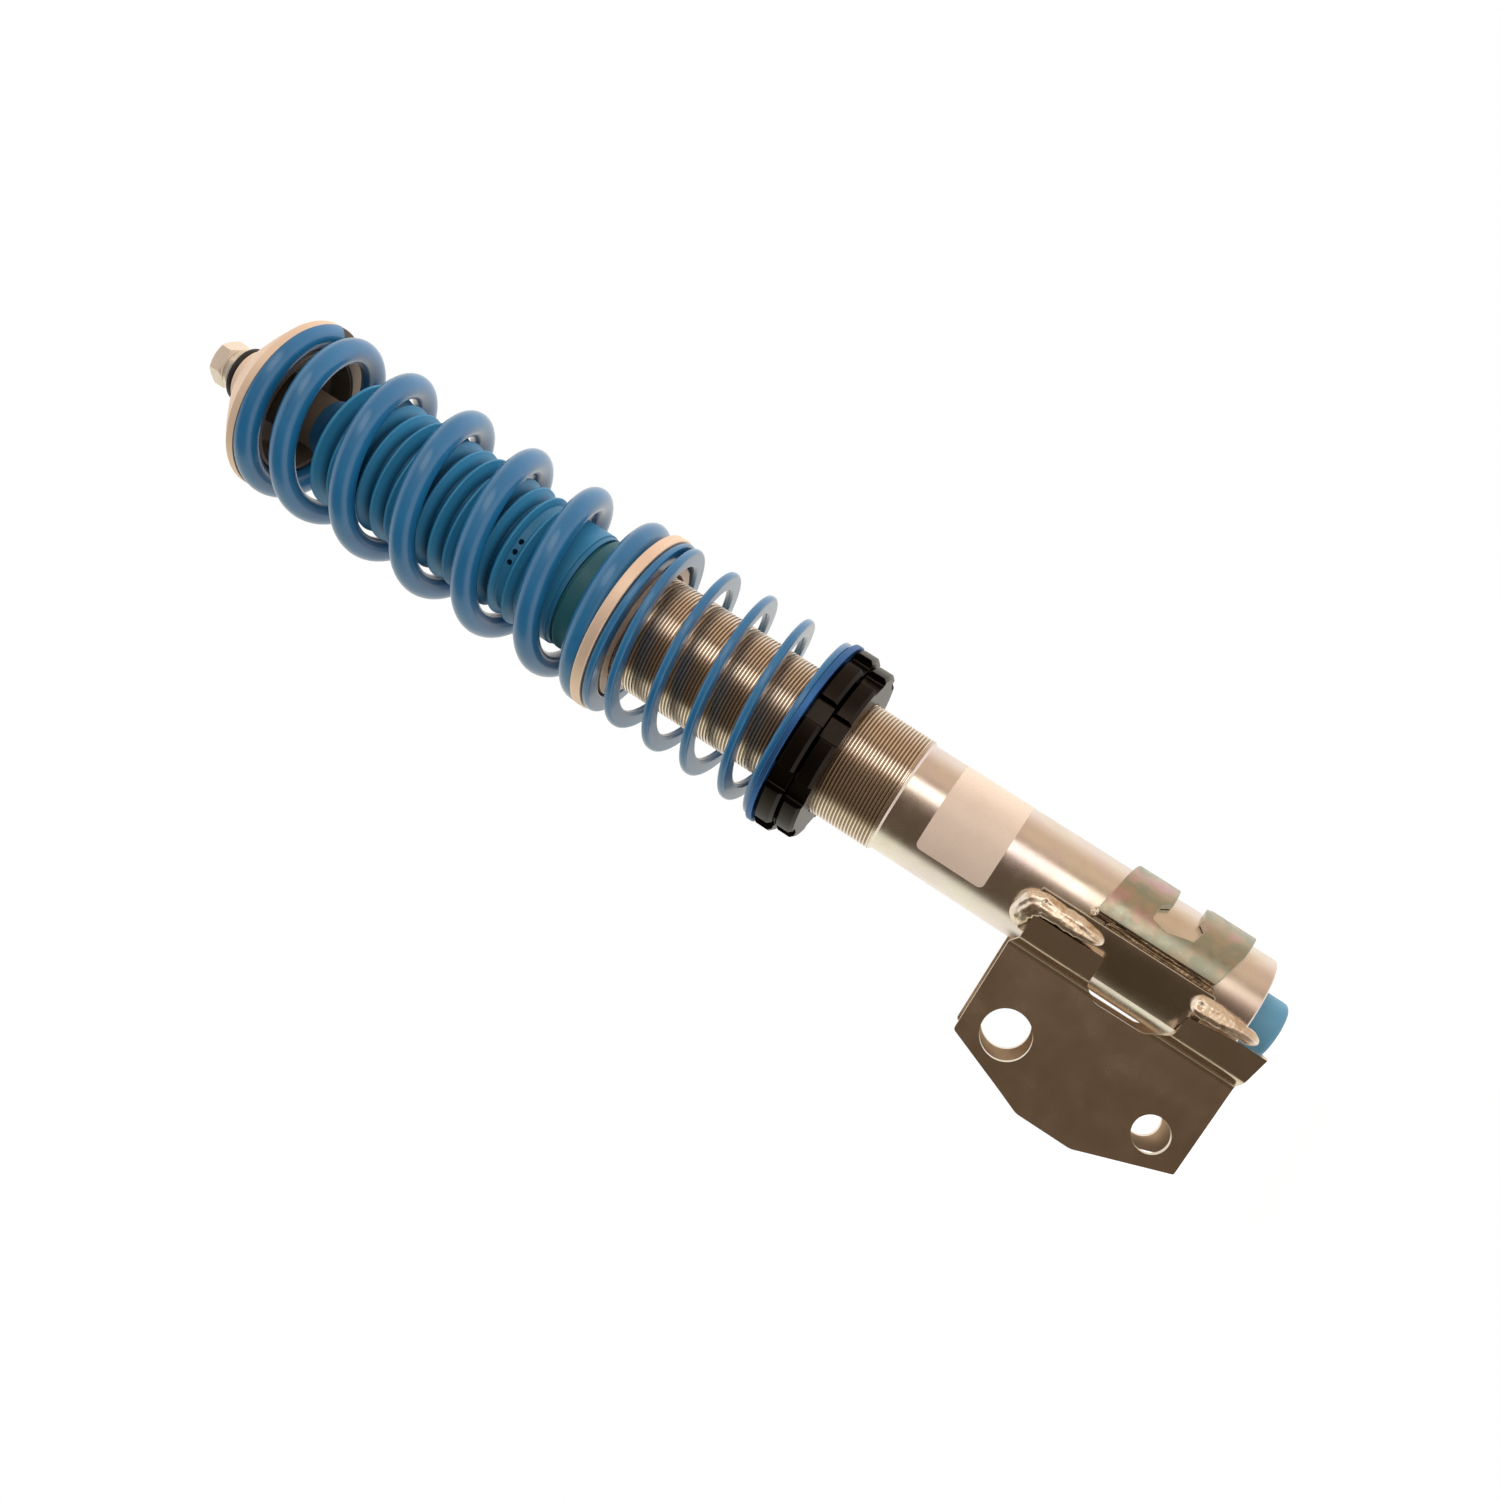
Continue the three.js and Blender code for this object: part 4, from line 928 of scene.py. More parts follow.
def weld_relief(at, across, width, height, seed, ripple, pit_at):
    """Ripples, streaks and lumps at a spot on a bead. They curve, as the molten pool did."""
    streaks = noise.fractal(Vector((at * 0.06, across * width * 1.4, seed)), 0.7, 2.2, 4)
    lumps = noise.fractal(Vector((at * 0.35, across * width * 0.3, seed * 3.1)), 0.9, 2.1, 3)
    lag = at + across**2 * width * 0.45 + lumps * 0.8
    wave = math.sin(lag * TURN / RIPPLE_PITCH) * ripple
    rough = height * (0.22 * streaks + 0.02 * lumps)
    if pit_at:
        pit = math.hypot(at - pit_at, across * width * 0.5 - 0.4)
        rough -= height * PIT_DEPTH * math.exp(-(pit**2) / 0.7)
    return wave + rough


print("relief at one spot:", round(weld_relief(5, 0, 9, 2.5, 3, 0.02, None), 3), "mm")


# %% Bead
def bead(name, path, width, height, seed, forms, ripple, pit_at=None):
    """A weld bead along a path whose points lie on the metal. Forms are shares of the full width,
    at even steps along the path. A pit is left where the arc was lifted off."""
    length, path_at = follow(path)

    def place(u, v):
        at = length * u
        centre, side, out = path_at(at)
        across, over = math.cos(TURN * v), math.sin(TURN * v)
        end = min(min(at, length - at) / (width * 0.55), 1)
        swell = math.sqrt(max(0.0, 1 - (1 - end) ** 2))
        form = u * (len(forms) - 1)
        step = min(int(form), len(forms) - 2)
        swell *= forms[step] + (forms[step + 1] - forms[step]) * (form - step)
        wander = noise.noise(Vector((at * 0.3, seed, 0))) * 0.12
        rough = weld_relief(at, across, width, height, seed, ripple, pit_at)
        lift = height * over**0.6 + rough * over if over > 0 else over * 1.2
        return centre + side * (across * width / 2 * swell * (1 + wander)) + out * lift * swell

    return wrapped(name, max(24, round(length * 4)), 36, place, 80)


def even_steps(low, high, count=8):
    return [low + (high - low) * i / count for i in range(count + 1)]


def flange_path(heights):
    """Along a flange's end: the bead leans from the flange's face to the sheet under it."""
    x, y = FLANGE_TIP
    out = Vector((-0.35, 1.0, 0)).normalized()
    return [((x - 3.6, y - 1.8, z), out) for z in heights]


print("a flange's path has", len(flange_path(even_steps(8.0, 36.2))), "points")


# %% Weld metal
def weld_metal():
    """Plated weld: bright, pitted, with heat tints."""
    material, tree, shader = new_material("weld_metal", {"Metallic": 1.0})
    heat_tints = tones((218, 190, 162), (250, 236, 218), (238, 220, 200))
    tint(tree, shader, drift(tree, 260), heat_tints)
    lumps = noise_value(tree, stretched(tree, 0.15), 1500, 3, 0.6)
    vary_roughness(tree, shader, lumps, 0.31, 0.09)
    relief(tree, shader, lumps, 0.35, 0.12)
    return material


weld = weld_metal()

# %% Near upper and lower weld
# Where the upper bead turns over the flange's end and down to the tube: direction, radius, height
OVER_THE_END = ((76, 28.8, 103.2), (69, 28.6, 105.2), (60, 28.2, 105.6), (52, 27.8, 105.4))


def upper_weld(name):
    path = flange_path(even_steps(73.5, 99.5))
    for direction, radius, height in OVER_THE_END:
        out = on_tube(1, direction, 0).normalized() + Vector((0, 0, 0.45))
        path.append((tuple(on_tube(radius, direction, height) / MM), out.normalized()))
    return bead(name, path, 9.4, 2.5, 3.0, (0.62, 0.9, 0.95, 1.1, 0.8), 0.02, pit_at=26.0)


def lower_weld(name):
    path = flange_path(even_steps(8.0, 36.2)[::-1])
    return bead(name, path, 8.8, 2.4, 11.0, (1.05, 1.0, 0.85, 0.75, 0.6), 0.03, pit_at=3.6)


near_upper = upper_weld("weld_upper_near_bead")
dress(near_upper, weld, "housing", "weld_upper_near", slot="weld_metal")
near_lower = lower_weld("weld_lower_near_bead")
dress(near_lower, weld, "housing", "weld_lower_near", slot="weld_metal")

# %% [markdown]
# ## The far side
# The bracket is symmetric, so ear, doubler and welds are made again and mirrored. A mirror modifier
# would make one piece of two, but the frame has a node for each. A mirrored face looks inwards, so
# the normals are flipped as well.


# %% Mirror the bracket
def mirrored(piece):
    piece.data.transform(Matrix.Scale(-1, 4, (0, 1, 0)))
    piece.data.flip_normals()
    return piece


for make, name, finish, node, slot in (
    (knuckle_ear, "ear_far_skin", bracket_zinc, "knuckle_ear_far", "bracket_zinc"),
    (doubler, "doubler_far_skin", doubler_zinc, "doubler_far", "bracket_zinc"),
    (upper_weld, "weld_upper_far_bead", weld, "weld_upper_far", "weld_metal"),
    (lower_weld, "weld_lower_far_bead", weld, "weld_lower_far", "weld_metal"),
):
    dress(mirrored(make(name)), finish, "housing", node, slot=slot)


# %% [markdown]
# ## Hose bracket
# Two arms of one thin sheet hold the brake hose beside the tube. Yellow passivation gives it rainbow
# tints. A thin-film value on the shader would give them too, but five drifting tints are easier to
# match. The sheet is cut and bent like the doubler, from a longer outline.

# %% Brake hose bracket
BRACKET_T = 2.8
# Outline: direction in degrees, height, corner radius
BRACKET_OUTLINE = (
    (98, 31.6, 1.0), (133, 27.0, 0.0), (178, 24.0, 1.0), (178, 44.0, 1.0), (171, 43.6, 1.0),
    (168, 46.2, 0.8), (151, 46.4, 0.6), (143, 46.6, 0.6), (136, 44.2, 0.8), (119, 46.0, 1.2),
    (117.5, 49.5, 0.8), (113.5, 56.0, 1.2), (117, 63.4, 1.2), (133, 62.2, 0.8), (140, 58.6, 1.0),
    (178, 57.4, 1.0), (178, 75.6, 2.0), (140, 79.2, 0.0), (98, 82.4, 1.0),
)

inner = SMOOTH_TUBE_R + SEAT_GAP
bracket = curved_sheet("hose_bracket_skin", BRACKET_OUTLINE, inner, BRACKET_T, 0.4)
passivated_tints = tones(
    (210, 180, 182), (194, 184, 164), (170, 176, 162), (190, 178, 156), (210, 176, 172)
)
passivated = plated("passivated_zinc", passivated_tints, 62, 0.3, 0.04, 0.08)
dress(bracket, passivated, "housing", "brake_hose_bracket", slot="passivated_steel")

# %% [markdown]
# ## Thin seams
# Doubler and hose bracket are joined to the tube by thin welds along their edges, and one drop of
# spatter stuck beside them. They could be left out at this size, but they close the gap between
# sheet and tube. They are beads on straight paths, in a darker plating than the large ones.

# %% Seams and spatter
SEAM_R = SMOOTH_TUBE_R + 1.0


def seam(name, direction, heights, width, height, seed, ripple=0.04):
    out = on_tube(1, direction, 0).normalized()
    path = [(tuple(on_tube(SEAM_R, direction, z) / MM), out) for z in heights]
    return bead(name, path, width, height, seed, (1, 1), ripple)


weld_seam = plated("weld_seam", tones((120, 102, 82), (170, 150, 126)), 300, 0.34, 0.3)
doubler_seam = seam("seam_doubler", 92.4, even_steps(30.0, 77.0), 3.0, 1.5, 21.0)
dress(doubler_seam, weld_seam, "housing", slot="weld_metal")
bracket_seam = seam("seam_bracket", 96.6, even_steps(31.5, 82.5), 2.6, 1.5, 27.0)
dress(bracket_seam, weld_seam, "housing", slot="weld_metal")
spatter = seam("seam_spatter", 96.5, (80.6, 82.4, 84.2), 4.4, 3.4, 35.0, ripple=0.3)
dress(spatter, weld, "housing", slot="weld_metal")

# %% [markdown]
# ## Turned metal
# Plate, perch, rings and nuts come from a lathe, whose tool leaves fine rings about the axis. They
# stretch a highlight across the rings: that is the shader's anisotropy, with a tangent round Z. The
# rings are a noise that sees only radius and height, so it can't change along a ring. An etched
# surface mirrors less, which a metal share below 1 stands for.


# %% Turned metal
def turned_metal(name, colors, rough, aniso=0.5, metal=1.0):
    inputs = {"Metallic": metal, "Anisotropic": aniso}
    material, tree, shader = new_material(name, inputs)
    tangent = add_node(tree, "ShaderNodeTangent", direction_type="RADIAL", axis="Z")
    plug(shader, {"Tangent": tangent.outputs["Tangent"]})
    tint(tree, shader, drift(tree, 35), colors)
    parts = add_node(tree, "ShaderNodeSeparateXYZ", {"Vector": object_place(tree)})
    inputs = {"X": axis_distance(tree), "Z": parts.outputs["Z"]}
    rings = add_node(tree, "ShaderNodeCombineXYZ", inputs)
    lines = noise_value(tree, rings.outputs["Vector"], 5200, 2, 0.6)
    vary_roughness(tree, shader, lines, rough, 0.04)
    relief(tree, shader, lines, 0.06, 0.03)
    return material


bright_steel = turned_metal("bright_steel", tones((240, 228, 212), (248, 238, 224)), 0.3, 0.2)
# painted shade: a dull, dark finish for the plate's hollow underside and the neck under it
under_plate_shade_tones = tones((108, 94, 80), (122, 106, 92))
under_plate_shade = turned_metal("under_plate_shade", under_plate_shade_tones, 0.42, 0.6, 0.5)

# %% [markdown]
# ## Top of the strut
# A neck leads from the damper through the boot to the spring plate, and a nut on the threaded end
# holds plate, spacer and washer. All are outlines on the lathe. The plate's hollow underside and the
# neck get a second finish, dull and dark as painted shade: a whole second piece isn't needed for
# that.


# %% Two finishes on one piece
def split_finish(piece, first, second, picked):
    """Faces that a test picks get the second finish."""
    piece.data.materials.append(first)
    piece.data.materials.append(second)
    faces = [face for face in piece.data.polygons if picked(face)]
    for face in faces:
        face.material_index = 1
    print(piece.name, "has", len(faces), "faces in", second.name)


print("second finish:", under_plate_shade.name)

# %% Top stud
HUB_DEPTH = 12.0
STUD_R = 6.0

# The plug in the cylinder, the neck above the boot and the threaded stud's rounded end.
radius, low, high = span("top_stud")
foot = span("damper_cylinder")[2]
shoulder = span("top_plate")[2] - HUB_DEPTH - SEAT_GAP
corners = [
    (0, low), (radius, low, 0.5), (radius, foot), (NECK_R, foot), (NECK_R, shoulder, 0.5),
    (STUD_R, shoulder), (STUD_R, high - 2, 0.6), (4.2, high, 0.8), (0, high),
]
stud = turned("top_stud_skin", corners, 96)


def on_neck(face):
    return face.center.z > foot * MM and face.center.xy.length > 7 * MM


split_finish(stud, bright_steel, under_plate_shade, on_neck)
dress(stud, bright_steel, "damper", "top_stud", slot="steel")

# %% Top plate
PLATE_SEAT = 488.6  # height of the plate's face that presses on the main spring
MAIN_PILOT_R = 29.6  # collars that centre the main spring
STUD_BORE_R = STUD_R + SEAT_GAP

# Flat rim, coned crown, hub, and a pilot lip inside the coil.
radius, lip_low, high = span("top_plate")
rim = PLATE_SEAT + 4.2
corners = [
    (STUD_BORE_R, high - HUB_DEPTH), (13, high - HUB_DEPTH, 0.5), (22.5, high - 15.4, 4),
    (27.2, rim + 2.2, 3), (27.8, lip_low, 0.4), (MAIN_PILOT_R, lip_low, 0.4),
    (MAIN_PILOT_R, PLATE_SEAT, 0.3), (radius, PLATE_SEAT, 0.5), (radius, rim, 0.7),
    (38.4, rim + 0.8, 0.8), (34.9, rim + 5.4, 3), (24.0, high - 9.6, 6), (14.2, high - 5, 1.5),
    (13.5, high, 0.5), (STUD_BORE_R, high, 0.3),
]
plate = turned("top_plate_skin", corners, 160, parts=5, sharp=40)


def underneath(face):
    inward = face.normal.xy.dot(face.center.xy) < 0
    return face.normal.z < -0.3 or (inward and face.center.xy.length > 10 * MM)


champagne_tones = tones((240, 212, 188), (246, 220, 196))
champagne = turned_metal("champagne_anodised", champagne_tones, 0.5, 0.2, 0.6)
split_finish(plate, champagne, under_plate_shade, underneath)
dress(plate, champagne, "damper", "top_plate", slot="champagne_aluminium")

# %% Spacer and washer
NUT_COLLAR = 2.6
NUT_COLLAR_R = 9.4

radius, low, high = span("top_spacer")
corners = [
    (STUD_BORE_R, low, 0.1), (radius, low, 0.9), (radius, high, 0.9), (STUD_BORE_R, high, 0.1),
]
spacer = turned("top_spacer_skin", corners, 96)

# The washer, and the round collar under the nut's flats.
radius, low, high = span("top_washer")
corners = [
    (STUD_BORE_R, low, 0.1), (radius, low, 0.35), (radius, high, 0.35), (NUT_COLLAR_R, high, 0.2),
    (NUT_COLLAR_R, high + NUT_COLLAR, 0.3), (STUD_BORE_R, high + NUT_COLLAR, 0.1),
]
washer = turned("top_washer_skin", corners, 96)
black_plastic = moulded("black_rubber", tones((24, 23, 22), (30, 29, 28)), 0.5)
dress(spacer, black_plastic, "damper", "top_spacer", slot="black_rubber")
dress(washer, bright_steel, "damper", "top_washer", slot="steel")

# %% Hexagon nut
# A turned blank with coned ends, cut down to a hexagon: that gives the corners their bevel.
corner_r, low, high = span("top_nut")
low += NUT_COLLAR
face_r = corner_r * math.cos(math.pi / 6) * 0.95
blank_r = corner_r + 0.2
bevel = (blank_r - face_r) * math.tan(math.radians(30))
blank = [
    (STUD_BORE_R, low, 0.3), (face_r, low, 0.2), (blank_r, low + bevel), (blank_r, high - bevel),
    (face_r, high, 0.2), (STUD_BORE_R, high, 0.5),
]
nut = turned("top_nut_skin", blank, 96)
hexagon = circle(0, 0, corner_r, 6)
trim(nut, prism("hexagon", [hexagon], low - 2, high + 2, "Z"), "INTERSECT")
nut = soften(nut, 0.25, 20)
nut_steel = turned_metal("nut_steel", tones((240, 224, 208), (250, 236, 220)), 0.3, 0.2, 0.55)
dress(nut, nut_steel, "damper", "top_nut", slot="steel")

# %% [markdown]
# ## Spring perch
# The perch is the blue plate that carries the springs, and its height sets the car's. A step on it
# centres the helper spring. Two joined cylinders would do, but a turned outline also rounds every
# edge. The metal is anodised, which tints it.

# %% Spring perch
STEP = 4.0  # height of the steps that centre a spring
HELPER_PILOT_R = 32.1

radius, low, high = span("spring_perch")
bore = 26.2
seat = high - STEP
corners = [
    (bore, low, 0.2), (radius, low, 0.5), (radius, seat + 1, 0.5), (radius - 1.1, seat + 1, 0.3),
    (radius - 1.3, seat, 0.2), (HELPER_PILOT_R, seat, 0.2), (HELPER_PILOT_R, high, 0.5),
    (bore, high, 0.3),
]
perch = turned("spring_perch_skin", corners, 160)
perch_tones = tones((54, 102, 162), (62, 112, 172))
perch_blue = turned_metal("perch_anodised", perch_tones, 0.38, 0.5, 0.7)
dress(perch, perch_blue, "perch", "spring_perch", slot="perch_aluminium")

# %% [markdown]
# ## Springs
# Each spring is a wire on a helix. A screw modifier could wind it, but only with one even pitch, and
# these springs have closed end turns that lie flat. So the height is a sum of three stretches: flat
# end turns, a ramp on which the pitch grows, and the free coils. The paint is a powder coat.


# %% Height of the wire
def climb(turns, closed, ramp, closed_pitch, pitch):
    """Height gained from one end of a spring after some turns."""
    if turns <= closed:
        return closed_pitch * turns
    on_ramp = min(turns - closed, ramp)
    past = max(turns - closed - ramp, 0)
    bend = (pitch - closed_pitch) * on_ramp**2 / (2 * ramp)
    return closed_pitch * (closed + on_ramp) + bend + pitch * past


def wire_height(spring, turns):
    """Centre height of the wire after some turns from its lower tip."""
    ends, ramps = sum(spring["closed"]), sum(spring["ramp"])
    low, high, flat = spring["bottom"], spring["top"], spring["closed_pitch"]
    pitch = (high - low - flat * (ends + ramps / 2)) / (spring["turns"] - ends - ramps / 2)
    if turns < spring["turns"] / 2:
        return low + climb(turns, spring["closed"][0], spring["ramp"][0], flat, pitch)
    left = spring["turns"] - turns
    return high - climb(left, spring["closed"][1], spring["ramp"][1], flat, pitch)


def wire_point(spring, turns, outwards, upwards):
    """A point of the wire's section, after some turns from the lower tip."""
    angle = math.radians(spring["start"]) + TURN * turns
    out = Vector((math.cos(angle), math.sin(angle), 0))
    rise = wire_height(spring, turns + 1e-4) - wire_height(spring, turns - 1e-4)
    slope = rise / (2e-4 * TURN * spring["mean_r"])
    along = Vector((-out.y, out.x, slope)).normalized()
    centre = out * spring["mean_r"] + Vector((0, 0, wire_height(spring, turns)))
    return centre + out * outwards + out.cross(along) * upwards


print("height after one free turn of 10 mm:", climb(1, 0, 0.1, 0, 10))


# %% Powder coat
def powder_coat(name, colors, rough, coat):
    """Slight orange peel under a clear coat, and a shade that drifts."""
    material, tree, shader = new_material(name, {"Coat Weight": coat, "Coat Roughness": 0.14})
    tint(tree, shader, drift(tree, 60), colors)
    peel = noise_value(tree, object_place(tree), 1400, 2, 0.5)
    vary_roughness(tree, shader, peel, rough, 0.04)
    relief(tree, shader, peel, 0.08, 0.05)
    return material


spring_paint = powder_coat("spring_paint", tones((22, 99, 146), (26, 108, 156)), 0.4, 0.8)

# %% [markdown]
# ## Helper spring
# The helper spring is wound from flat wire, and only keeps the main spring seated when the wheel
# hangs. A curve with a bevel object could sweep its section, but the tips are ground thin, which
# needs a section that changes: so each ring of a rolled grid is placed by itself.

# %% Helper spring
HELPER = {"turns": 6.08, "start": 180.0, "mean_r": 37.0, "width": 8.0, "thick": 3.6}
HELPER.update({"closed": (0.72, 0.72), "ramp": (0.35, 0.35), "closed_pitch": 0.0})
HELPER_TIP_T = 0.4  # thickness left at a tip, as a share
HELPER_TAPER = 0.25  # turns over which a tip thins


def helper_spring():
    half = HELPER["thick"] / 2
    side = HELPER["width"] / 2
    seat = span("spring_perch")[2] - STEP + SEAT_GAP
    press = span("spring_divider")[1] + STEP - SEAT_GAP
    spring = dict(HELPER, bottom=seat + half, top=press - half)
    corners = [(side, -half, 1.5), (side, half, 1.5), (-side, half, 1.5), (-side, -half, 1.5)]
    section = rounded(corners, 5)

    def place(u, v):
        turns = u * spring["turns"]
        out, up = section[round(v * len(section)) % len(section)]
        lower = max(0, 1 - turns / HELPER_TAPER) * (1 - HELPER_TIP_T)
        upper = max(0, 1 - (spring["turns"] - turns) / HELPER_TAPER) * (1 - HELPER_TIP_T)
        up = up - (up + half) * lower + (half - up) * upper
        return wire_point(spring, turns, out, up)

    along = round(64 * spring["turns"])
    return wrapped("helper_spring_wire", along, len(section), place)


helper = dress(helper_spring(), spring_paint, "perch", "helper_spring", slot="spring_paint")

# %% [markdown]
# ## Divider and main spring
# A champagne ring divides the two springs and has a step for each. The main spring is round wire
# whose end turns are ground flat, so that it stands straight. The grinding is done as on the real
# one: the wire is wound a little too high, and a flat cut takes the rest away at each end.

# %% Spring divider
radius, low, high = span("spring_divider")
bore = 27.4
base, top = low + STEP, high - STEP
corners = [
    (bore, low, 0.2), (HELPER_PILOT_R, low, 0.5), (HELPER_PILOT_R, base, 0.2),
    (radius, base, 0.7), (radius, top, 0.7), (MAIN_PILOT_R, top, 0.2), (MAIN_PILOT_R, high, 0.5),
    (bore, high, 0.2),
]
divider = turned("spring_divider_skin", corners, 160)
dress(divider, champagne, "divider", "spring_divider", slot="champagne_aluminium")

# %% Main spring
MAIN = {"turns": 6.72, "start": -90.0, "mean_r": 36.0, "wire_r": 5.5, "ground": 1.3}
MAIN.update({"closed": (0.38, 0.52), "ramp": (0.8, 0.8), "closed_pitch": 11.3})


def main_spring():
    seat = span("spring_divider")[2] - STEP + SEAT_GAP
    press = PLATE_SEAT - SEAT_GAP
    spring = dict(MAIN, bottom=seat - MAIN["ground"], top=press + MAIN["ground"])
    wire = MAIN["wire_r"]

    def place(u, v):
        angle = TURN * v
        return wire_point(spring, u * spring["turns"], wire * math.cos(angle), wire * math.sin(angle))

    bm = reopen(wrapped("main_spring_wire", round(72 * spring["turns"]), 28, place))
    for height, up in ((seat, 1), (press, -1)):
        bmesh.ops.holes_fill(bm, edges=cut_flat(bm, height, up))
    return finish_mesh(bm, "main_spring_wire", 40)


main = dress(main_spring(), spring_paint, "divider", "main_spring", slot="spring_paint")

# %% [markdown]
# ## Rings with lugs
# The adjusting collar carries the perch, and the lock ring holds the collar. Both have eight lugs
# for a hook spanner. The lugs could be extruded one by one. Instead the notches between them are
# milled out of a turned blank by one boolean, so the chamfered rims stay whole on every lug.

# %% Adjusting collar and lock ring
LUGS = 8
NOTCH = {"half_width": 5.0, "flare": 1.2, "corner": 0.9}


def notch_outlines(floor, outer, lug_at):
    """The room between two lugs, from its floor's radius outwards, once for each lug."""
    half = NOTCH["half_width"]
    wide = half + NOTCH["flare"]
    corner = NOTCH["corner"]
    notch = [(floor, -half, corner), (outer + 2, -wide), (outer + 2, wide), (floor, half, corner)]
    outlines = []
    for number in range(LUGS):
        angle = math.radians(lug_at + 360 * (number + 0.5) / LUGS)
        c, s = math.cos(angle), math.sin(angle)
        outlines.append([(x * c - y * s, x * s + y * c) for x, y in rounded(notch, 5)])
    return outlines


def lug_ring(name, node, floor, lug_at):
    outer, low, high = span(node)
    bore = span("outer_tube")[0] + SEAT_GAP
    chamfer = 1.4
    blank = [
        (bore, low, 0.4), (outer - chamfer, low, 0.2), (outer, low + chamfer, 0.3),
        (outer, high - chamfer, 0.3), (outer - chamfer, high, 0.2), (bore, high, 0.4),
    ]
    ring = turned(name, blank, 160)
    notches = notch_outlines(floor, outer, lug_at)
    trim(ring, prism("notches", notches, low - 2, high + 2, "Z"), "DIFFERENCE")
    return soften(ring, 0.3, 24)


black_metal = turned_metal("black_anodised", tones((40, 35, 32), (52, 46, 42)), 0.34, 0.2)
collar = lug_ring("collar_skin", "adjusting_collar", floor=38.0, lug_at=83.5)
dress(collar, black_metal, "collar", "adjusting_collar", slot="black_aluminium")
lock = lug_ring("lock_ring_skin", "lock_ring", floor=36.0, lug_at=79.0)
dress(lock, black_metal, "lock_ring", "lock_ring", slot="black_aluminium")

# %% [markdown]
# ## What hides inside
# Rod, piston and guides are inside the tube and show in no picture. They keep the frame's own
# meshes, which is enough for a part that may be cut open one day, and only get a finish from here.

# %% Finishes of the inner pieces
bronze = turned_metal("bearing_bronze", tones((176, 140, 88), (190, 154, 98)), 0.35)
steel_inside = ("tube_base", "piston_rod", "rod_washer", "rod_nut", "piston", "piston_nut")
steel_inside += ("damper_cylinder", "rod_guide", "floating_piston")
for finish, nodes in (
    (bright_steel, steel_inside), (black_plastic, ("wiper_seal", "bump_stop")),
    (bronze, ("upper_guide_bush", "lower_guide_bush")),
):
    for node in nodes:
        mesh = frame["nodes"][node].data
        mesh.materials.clear()
        mesh.materials.append(finish)
    print(finish.name, "on", len(nodes), "inner pieces")


# %% [markdown]
# ## What deforms
# When the strut closes, the helper spring gives first, the main spring a little, and the boot folds
# up between the seal cap and the cylinder's top. Shape keys or a squash could give the closed forms.
# Here each piece's travel is worked out and it gets a mesh of its own, but it is not squashed.

# %% Travel, and own meshes for the springs and the boot
DIVIDER_SHARE = 0.7  # of the damper's travel


def travel(joint):
    limits = next(j for j in frame["joints"] if j["name"] == joint)["range_m"]
    return max(abs(limit) for limit in limits) / MM


strut_travel = travel("suspension_travel")
divider_travel = strut_travel * DIVIDER_SHARE
_, divider_low, divider_high = span("spring_divider")
helper_low = span("spring_perch")[2] - STEP
main_low = divider_high - STEP
_, boot_low, boot_high = span("dust_boot")
for piece, low, high, closing in (
    (main, main_low, PLATE_SEAT, strut_travel - divider_travel),
    (helper, helper_low, divider_low + STEP, divider_travel),
    (boot, boot_low, boot_high, strut_travel),
):
    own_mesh(piece)


# %% [markdown]
# ## Camera
# The camera stands where the photograph was taken from, found from the strut's own edges. It looks
# at the near side, about half a metre away, rolled so that the strut lies across the frame. Its
# matrix is written from three directions, since angles would hide how exactly they were found.

# %% Camera
camera_data = bpy.data.cameras.new("camera")
camera_data.sensor_width = 36
camera_data.lens = 34.234
camera_data.clip_start = 0.01
camera_data.clip_end = 50
camera = link_object("camera", camera_data)
right = Vector((-0.53760727, -0.17746664, -0.8243082))
down = Vector((0.84192808, -0.05940174, -0.53631012))
ahead = Vector((0.04621181, -0.98233244, 0.18134895))
pose = Matrix((right, -down, -ahead)).transposed().to_4x4()
pose.translation = Vector((-9.183, 582.952, 124.938)) * MM
camera.matrix_world = pose
bpy.context.scene.camera = camera
print("the camera stands", round(camera.matrix_world.translation.length, 3), "m from the origin")

# %% [markdown]
# ## Surroundings
# Metal shows what lies around it. Here that is a tent of white paper, open towards the photographer,
# where a dark, warm room shows. Real walls could be built, but then their shadows need care. The
# world's colour can depend on direction instead, while the camera itself sees plain white.

# %% White tent
# What lies round the strut, by direction in degrees from +X towards +Y: white paper and the room
AROUND = (
    (-180, (208, 186, 162)), (-160, (236, 218, 200)), (-140, (254, 246, 238)),
    (-60, (252, 250, 240)), (-4, (238, 240, 222)), (10, (100, 88, 72)), (24, (88, 76, 62)),
    (84, (92, 79, 64)), (98, (124, 106, 92)), (110, (184, 160, 138)), (121, (250, 232, 208)),
    (131, (220, 198, 174)), (138, (158, 136, 112)), (148, (196, 176, 152)),
    (158, (216, 192, 168)), (180, (208, 186, 162)),
)


def tent_color(tree):
    """Paper and room by direction, closed by white paper above and below."""
    where = add_node(tree, "ShaderNodeTexCoord")
    parts = add_node(tree, "ShaderNodeSeparateXYZ", {"Vector": where.outputs["Generated"]})
    x, y, z = parts.outputs
    angle = add_node(tree, "ShaderNodeMath", {0: y, 1: x}, operation="ARCTAN2").outputs[0]
    share = ranged(tree, angle, -math.pi, math.pi, 0, 1)
    sides = ramp(tree, share, [((d + 180) / 360, srgb(*color)) for d, color in AROUND])
    above = ranged(tree, z, 0.5, 0.8, 0, 1, "SMOOTHSTEP")
    under = ranged(tree, z, -0.8, -0.5, 1, 0, "SMOOTHSTEP")
    ends = add_node(tree, "ShaderNodeMath", {0: above, 1: under}, operation="MAXIMUM").outputs[0]
    inputs = {"Factor": ends, "A": sides, "B": (0.97, 0.955, 0.93, 1)}
    return add_node(tree, "ShaderNodeMix", inputs, data_type="RGBA").outputs["Result"]


print("directions round the strut:", len(AROUND))


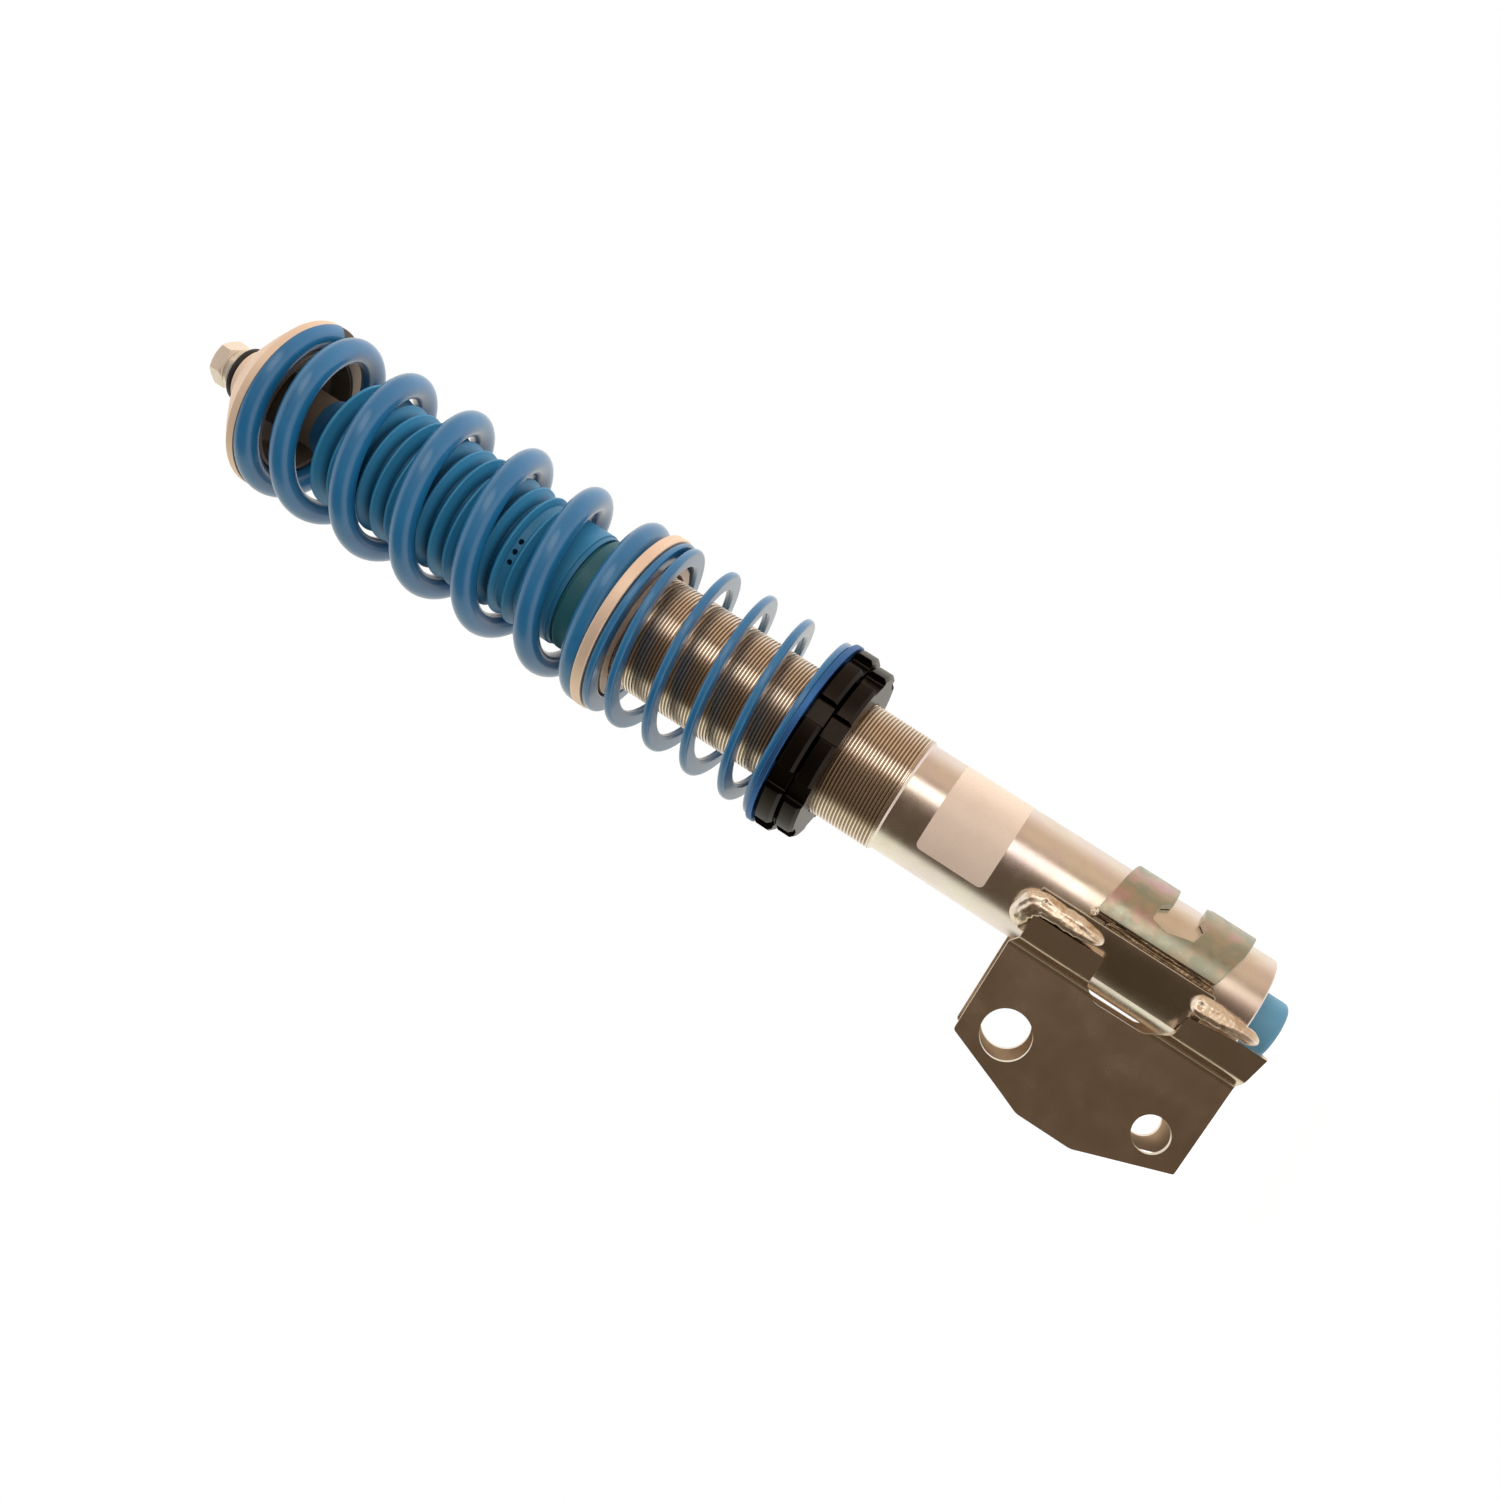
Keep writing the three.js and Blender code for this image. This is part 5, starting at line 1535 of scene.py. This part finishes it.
# %% World
def camera_choice(tree, others, camera_sees, leave):
    """One shader for the camera's own rays, and another for all the other rays."""
    seen = add_node(tree, "ShaderNodeLightPath").outputs["Is Camera Ray"]
    inputs = {"Fac": seen, 1: others.outputs[0], 2: camera_sees.outputs[0]}
    plug(leave, {"Surface": add_node(tree, "ShaderNodeMixShader", inputs).outputs[0]})


def white_tent():
    world = bpy.data.worlds.new("tent")
    bpy.context.scene.world = world
    world.use_nodes = True
    tree = world.node_tree
    tree.nodes.clear()
    leave = add_node(tree, "ShaderNodeOutputWorld")
    tent = add_node(tree, "ShaderNodeBackground", {"Color": tent_color(tree)})
    plain = add_node(tree, "ShaderNodeBackground", {"Color": (1, 1, 1, 1)})
    camera_choice(tree, tent, plain, leave)
    return world


print("world:", white_tent().name)

# %% [markdown]
# ## Lamps
# A key lamp gives the long highlight on the tube. Two large, weak ones fill the shadows from the
# side and the front. The metal must mirror the room and not these, so they are hidden from
# reflections. The world alone could light the strut, but then paint and rubber would look flat.

# %% Soft boxes
MIDDLE = Vector((0, 0, 0.27))


def soft_box(name, direction, height, distance, size, power, mirrored_too=True):
    """A rectangular light that faces the strut's middle. Measures are in metres."""
    light = bpy.data.lights.new(name, "AREA")
    light.shape = "RECTANGLE"
    light.size, light.size_y = size
    light.energy = power
    box = link_object(name, light)
    box.location = on_tube(distance / MM, direction, height / MM)
    box.rotation_euler = (MIDDLE - box.location).to_track_quat("-Z", "Y").to_euler()
    box.visible_glossy = mirrored_too
    print(name, "gives", power, "W")


soft_box("soft_box_key", 122, 0.35, 1.1, (0.5, 0.9), 1.5)
soft_box("soft_box_side", 200, 0.3, 1.2, (1.0, 1.2), 14, mirrored_too=False)
soft_box("soft_box_front", 84, 0.3, 1.2, (1.2, 1.2), 5.5, mirrored_too=False)

# %% [markdown]
# ## Floor
# The strut lies over a round sheet of paper that only has to take its shadow. A plane to the horizon
# would fill the picture with one grey. The paper glows a little for the camera, which lifts it to
# the white around it, and metal doesn't mirror it.

# %% Floor
FLOOR_R = 0.3
FLOOR_AT = (0.02, -0.16, -0.03)  # set back, so that it is lit evenly on the near side


def floor_paper():
    material, tree, shader = new_material("floor_paper", {"Roughness": 0.8})
    paper = noise_value(tree, object_place(tree), 300)
    tint(tree, shader, paper, [(0.86, 0.86, 0.86), (0.9, 0.9, 0.9)])
    glow = add_node(tree, "ShaderNodeEmission", {"Strength": 0.32})
    both = add_node(tree, "ShaderNodeAddShader", {0: shader.outputs[0], 1: glow.outputs[0]})
    camera_choice(tree, shader, both, tree.nodes["Material Output"])
    return material


def white_floor():
    bm = bmesh.new()
    bmesh.ops.create_circle(bm, cap_ends=True, segments=128, radius=FLOOR_R)
    bmesh.ops.translate(bm, verts=bm.verts, vec=FLOOR_AT)
    floor = finish_mesh(bm, "floor")
    floor.data.materials.append(floor_paper())
    floor.visible_glossy = False


white_floor()
bpy.context.scene.view_settings.view_transform = "Standard"
print("floor: a disc of", 2 * FLOOR_R, "m")
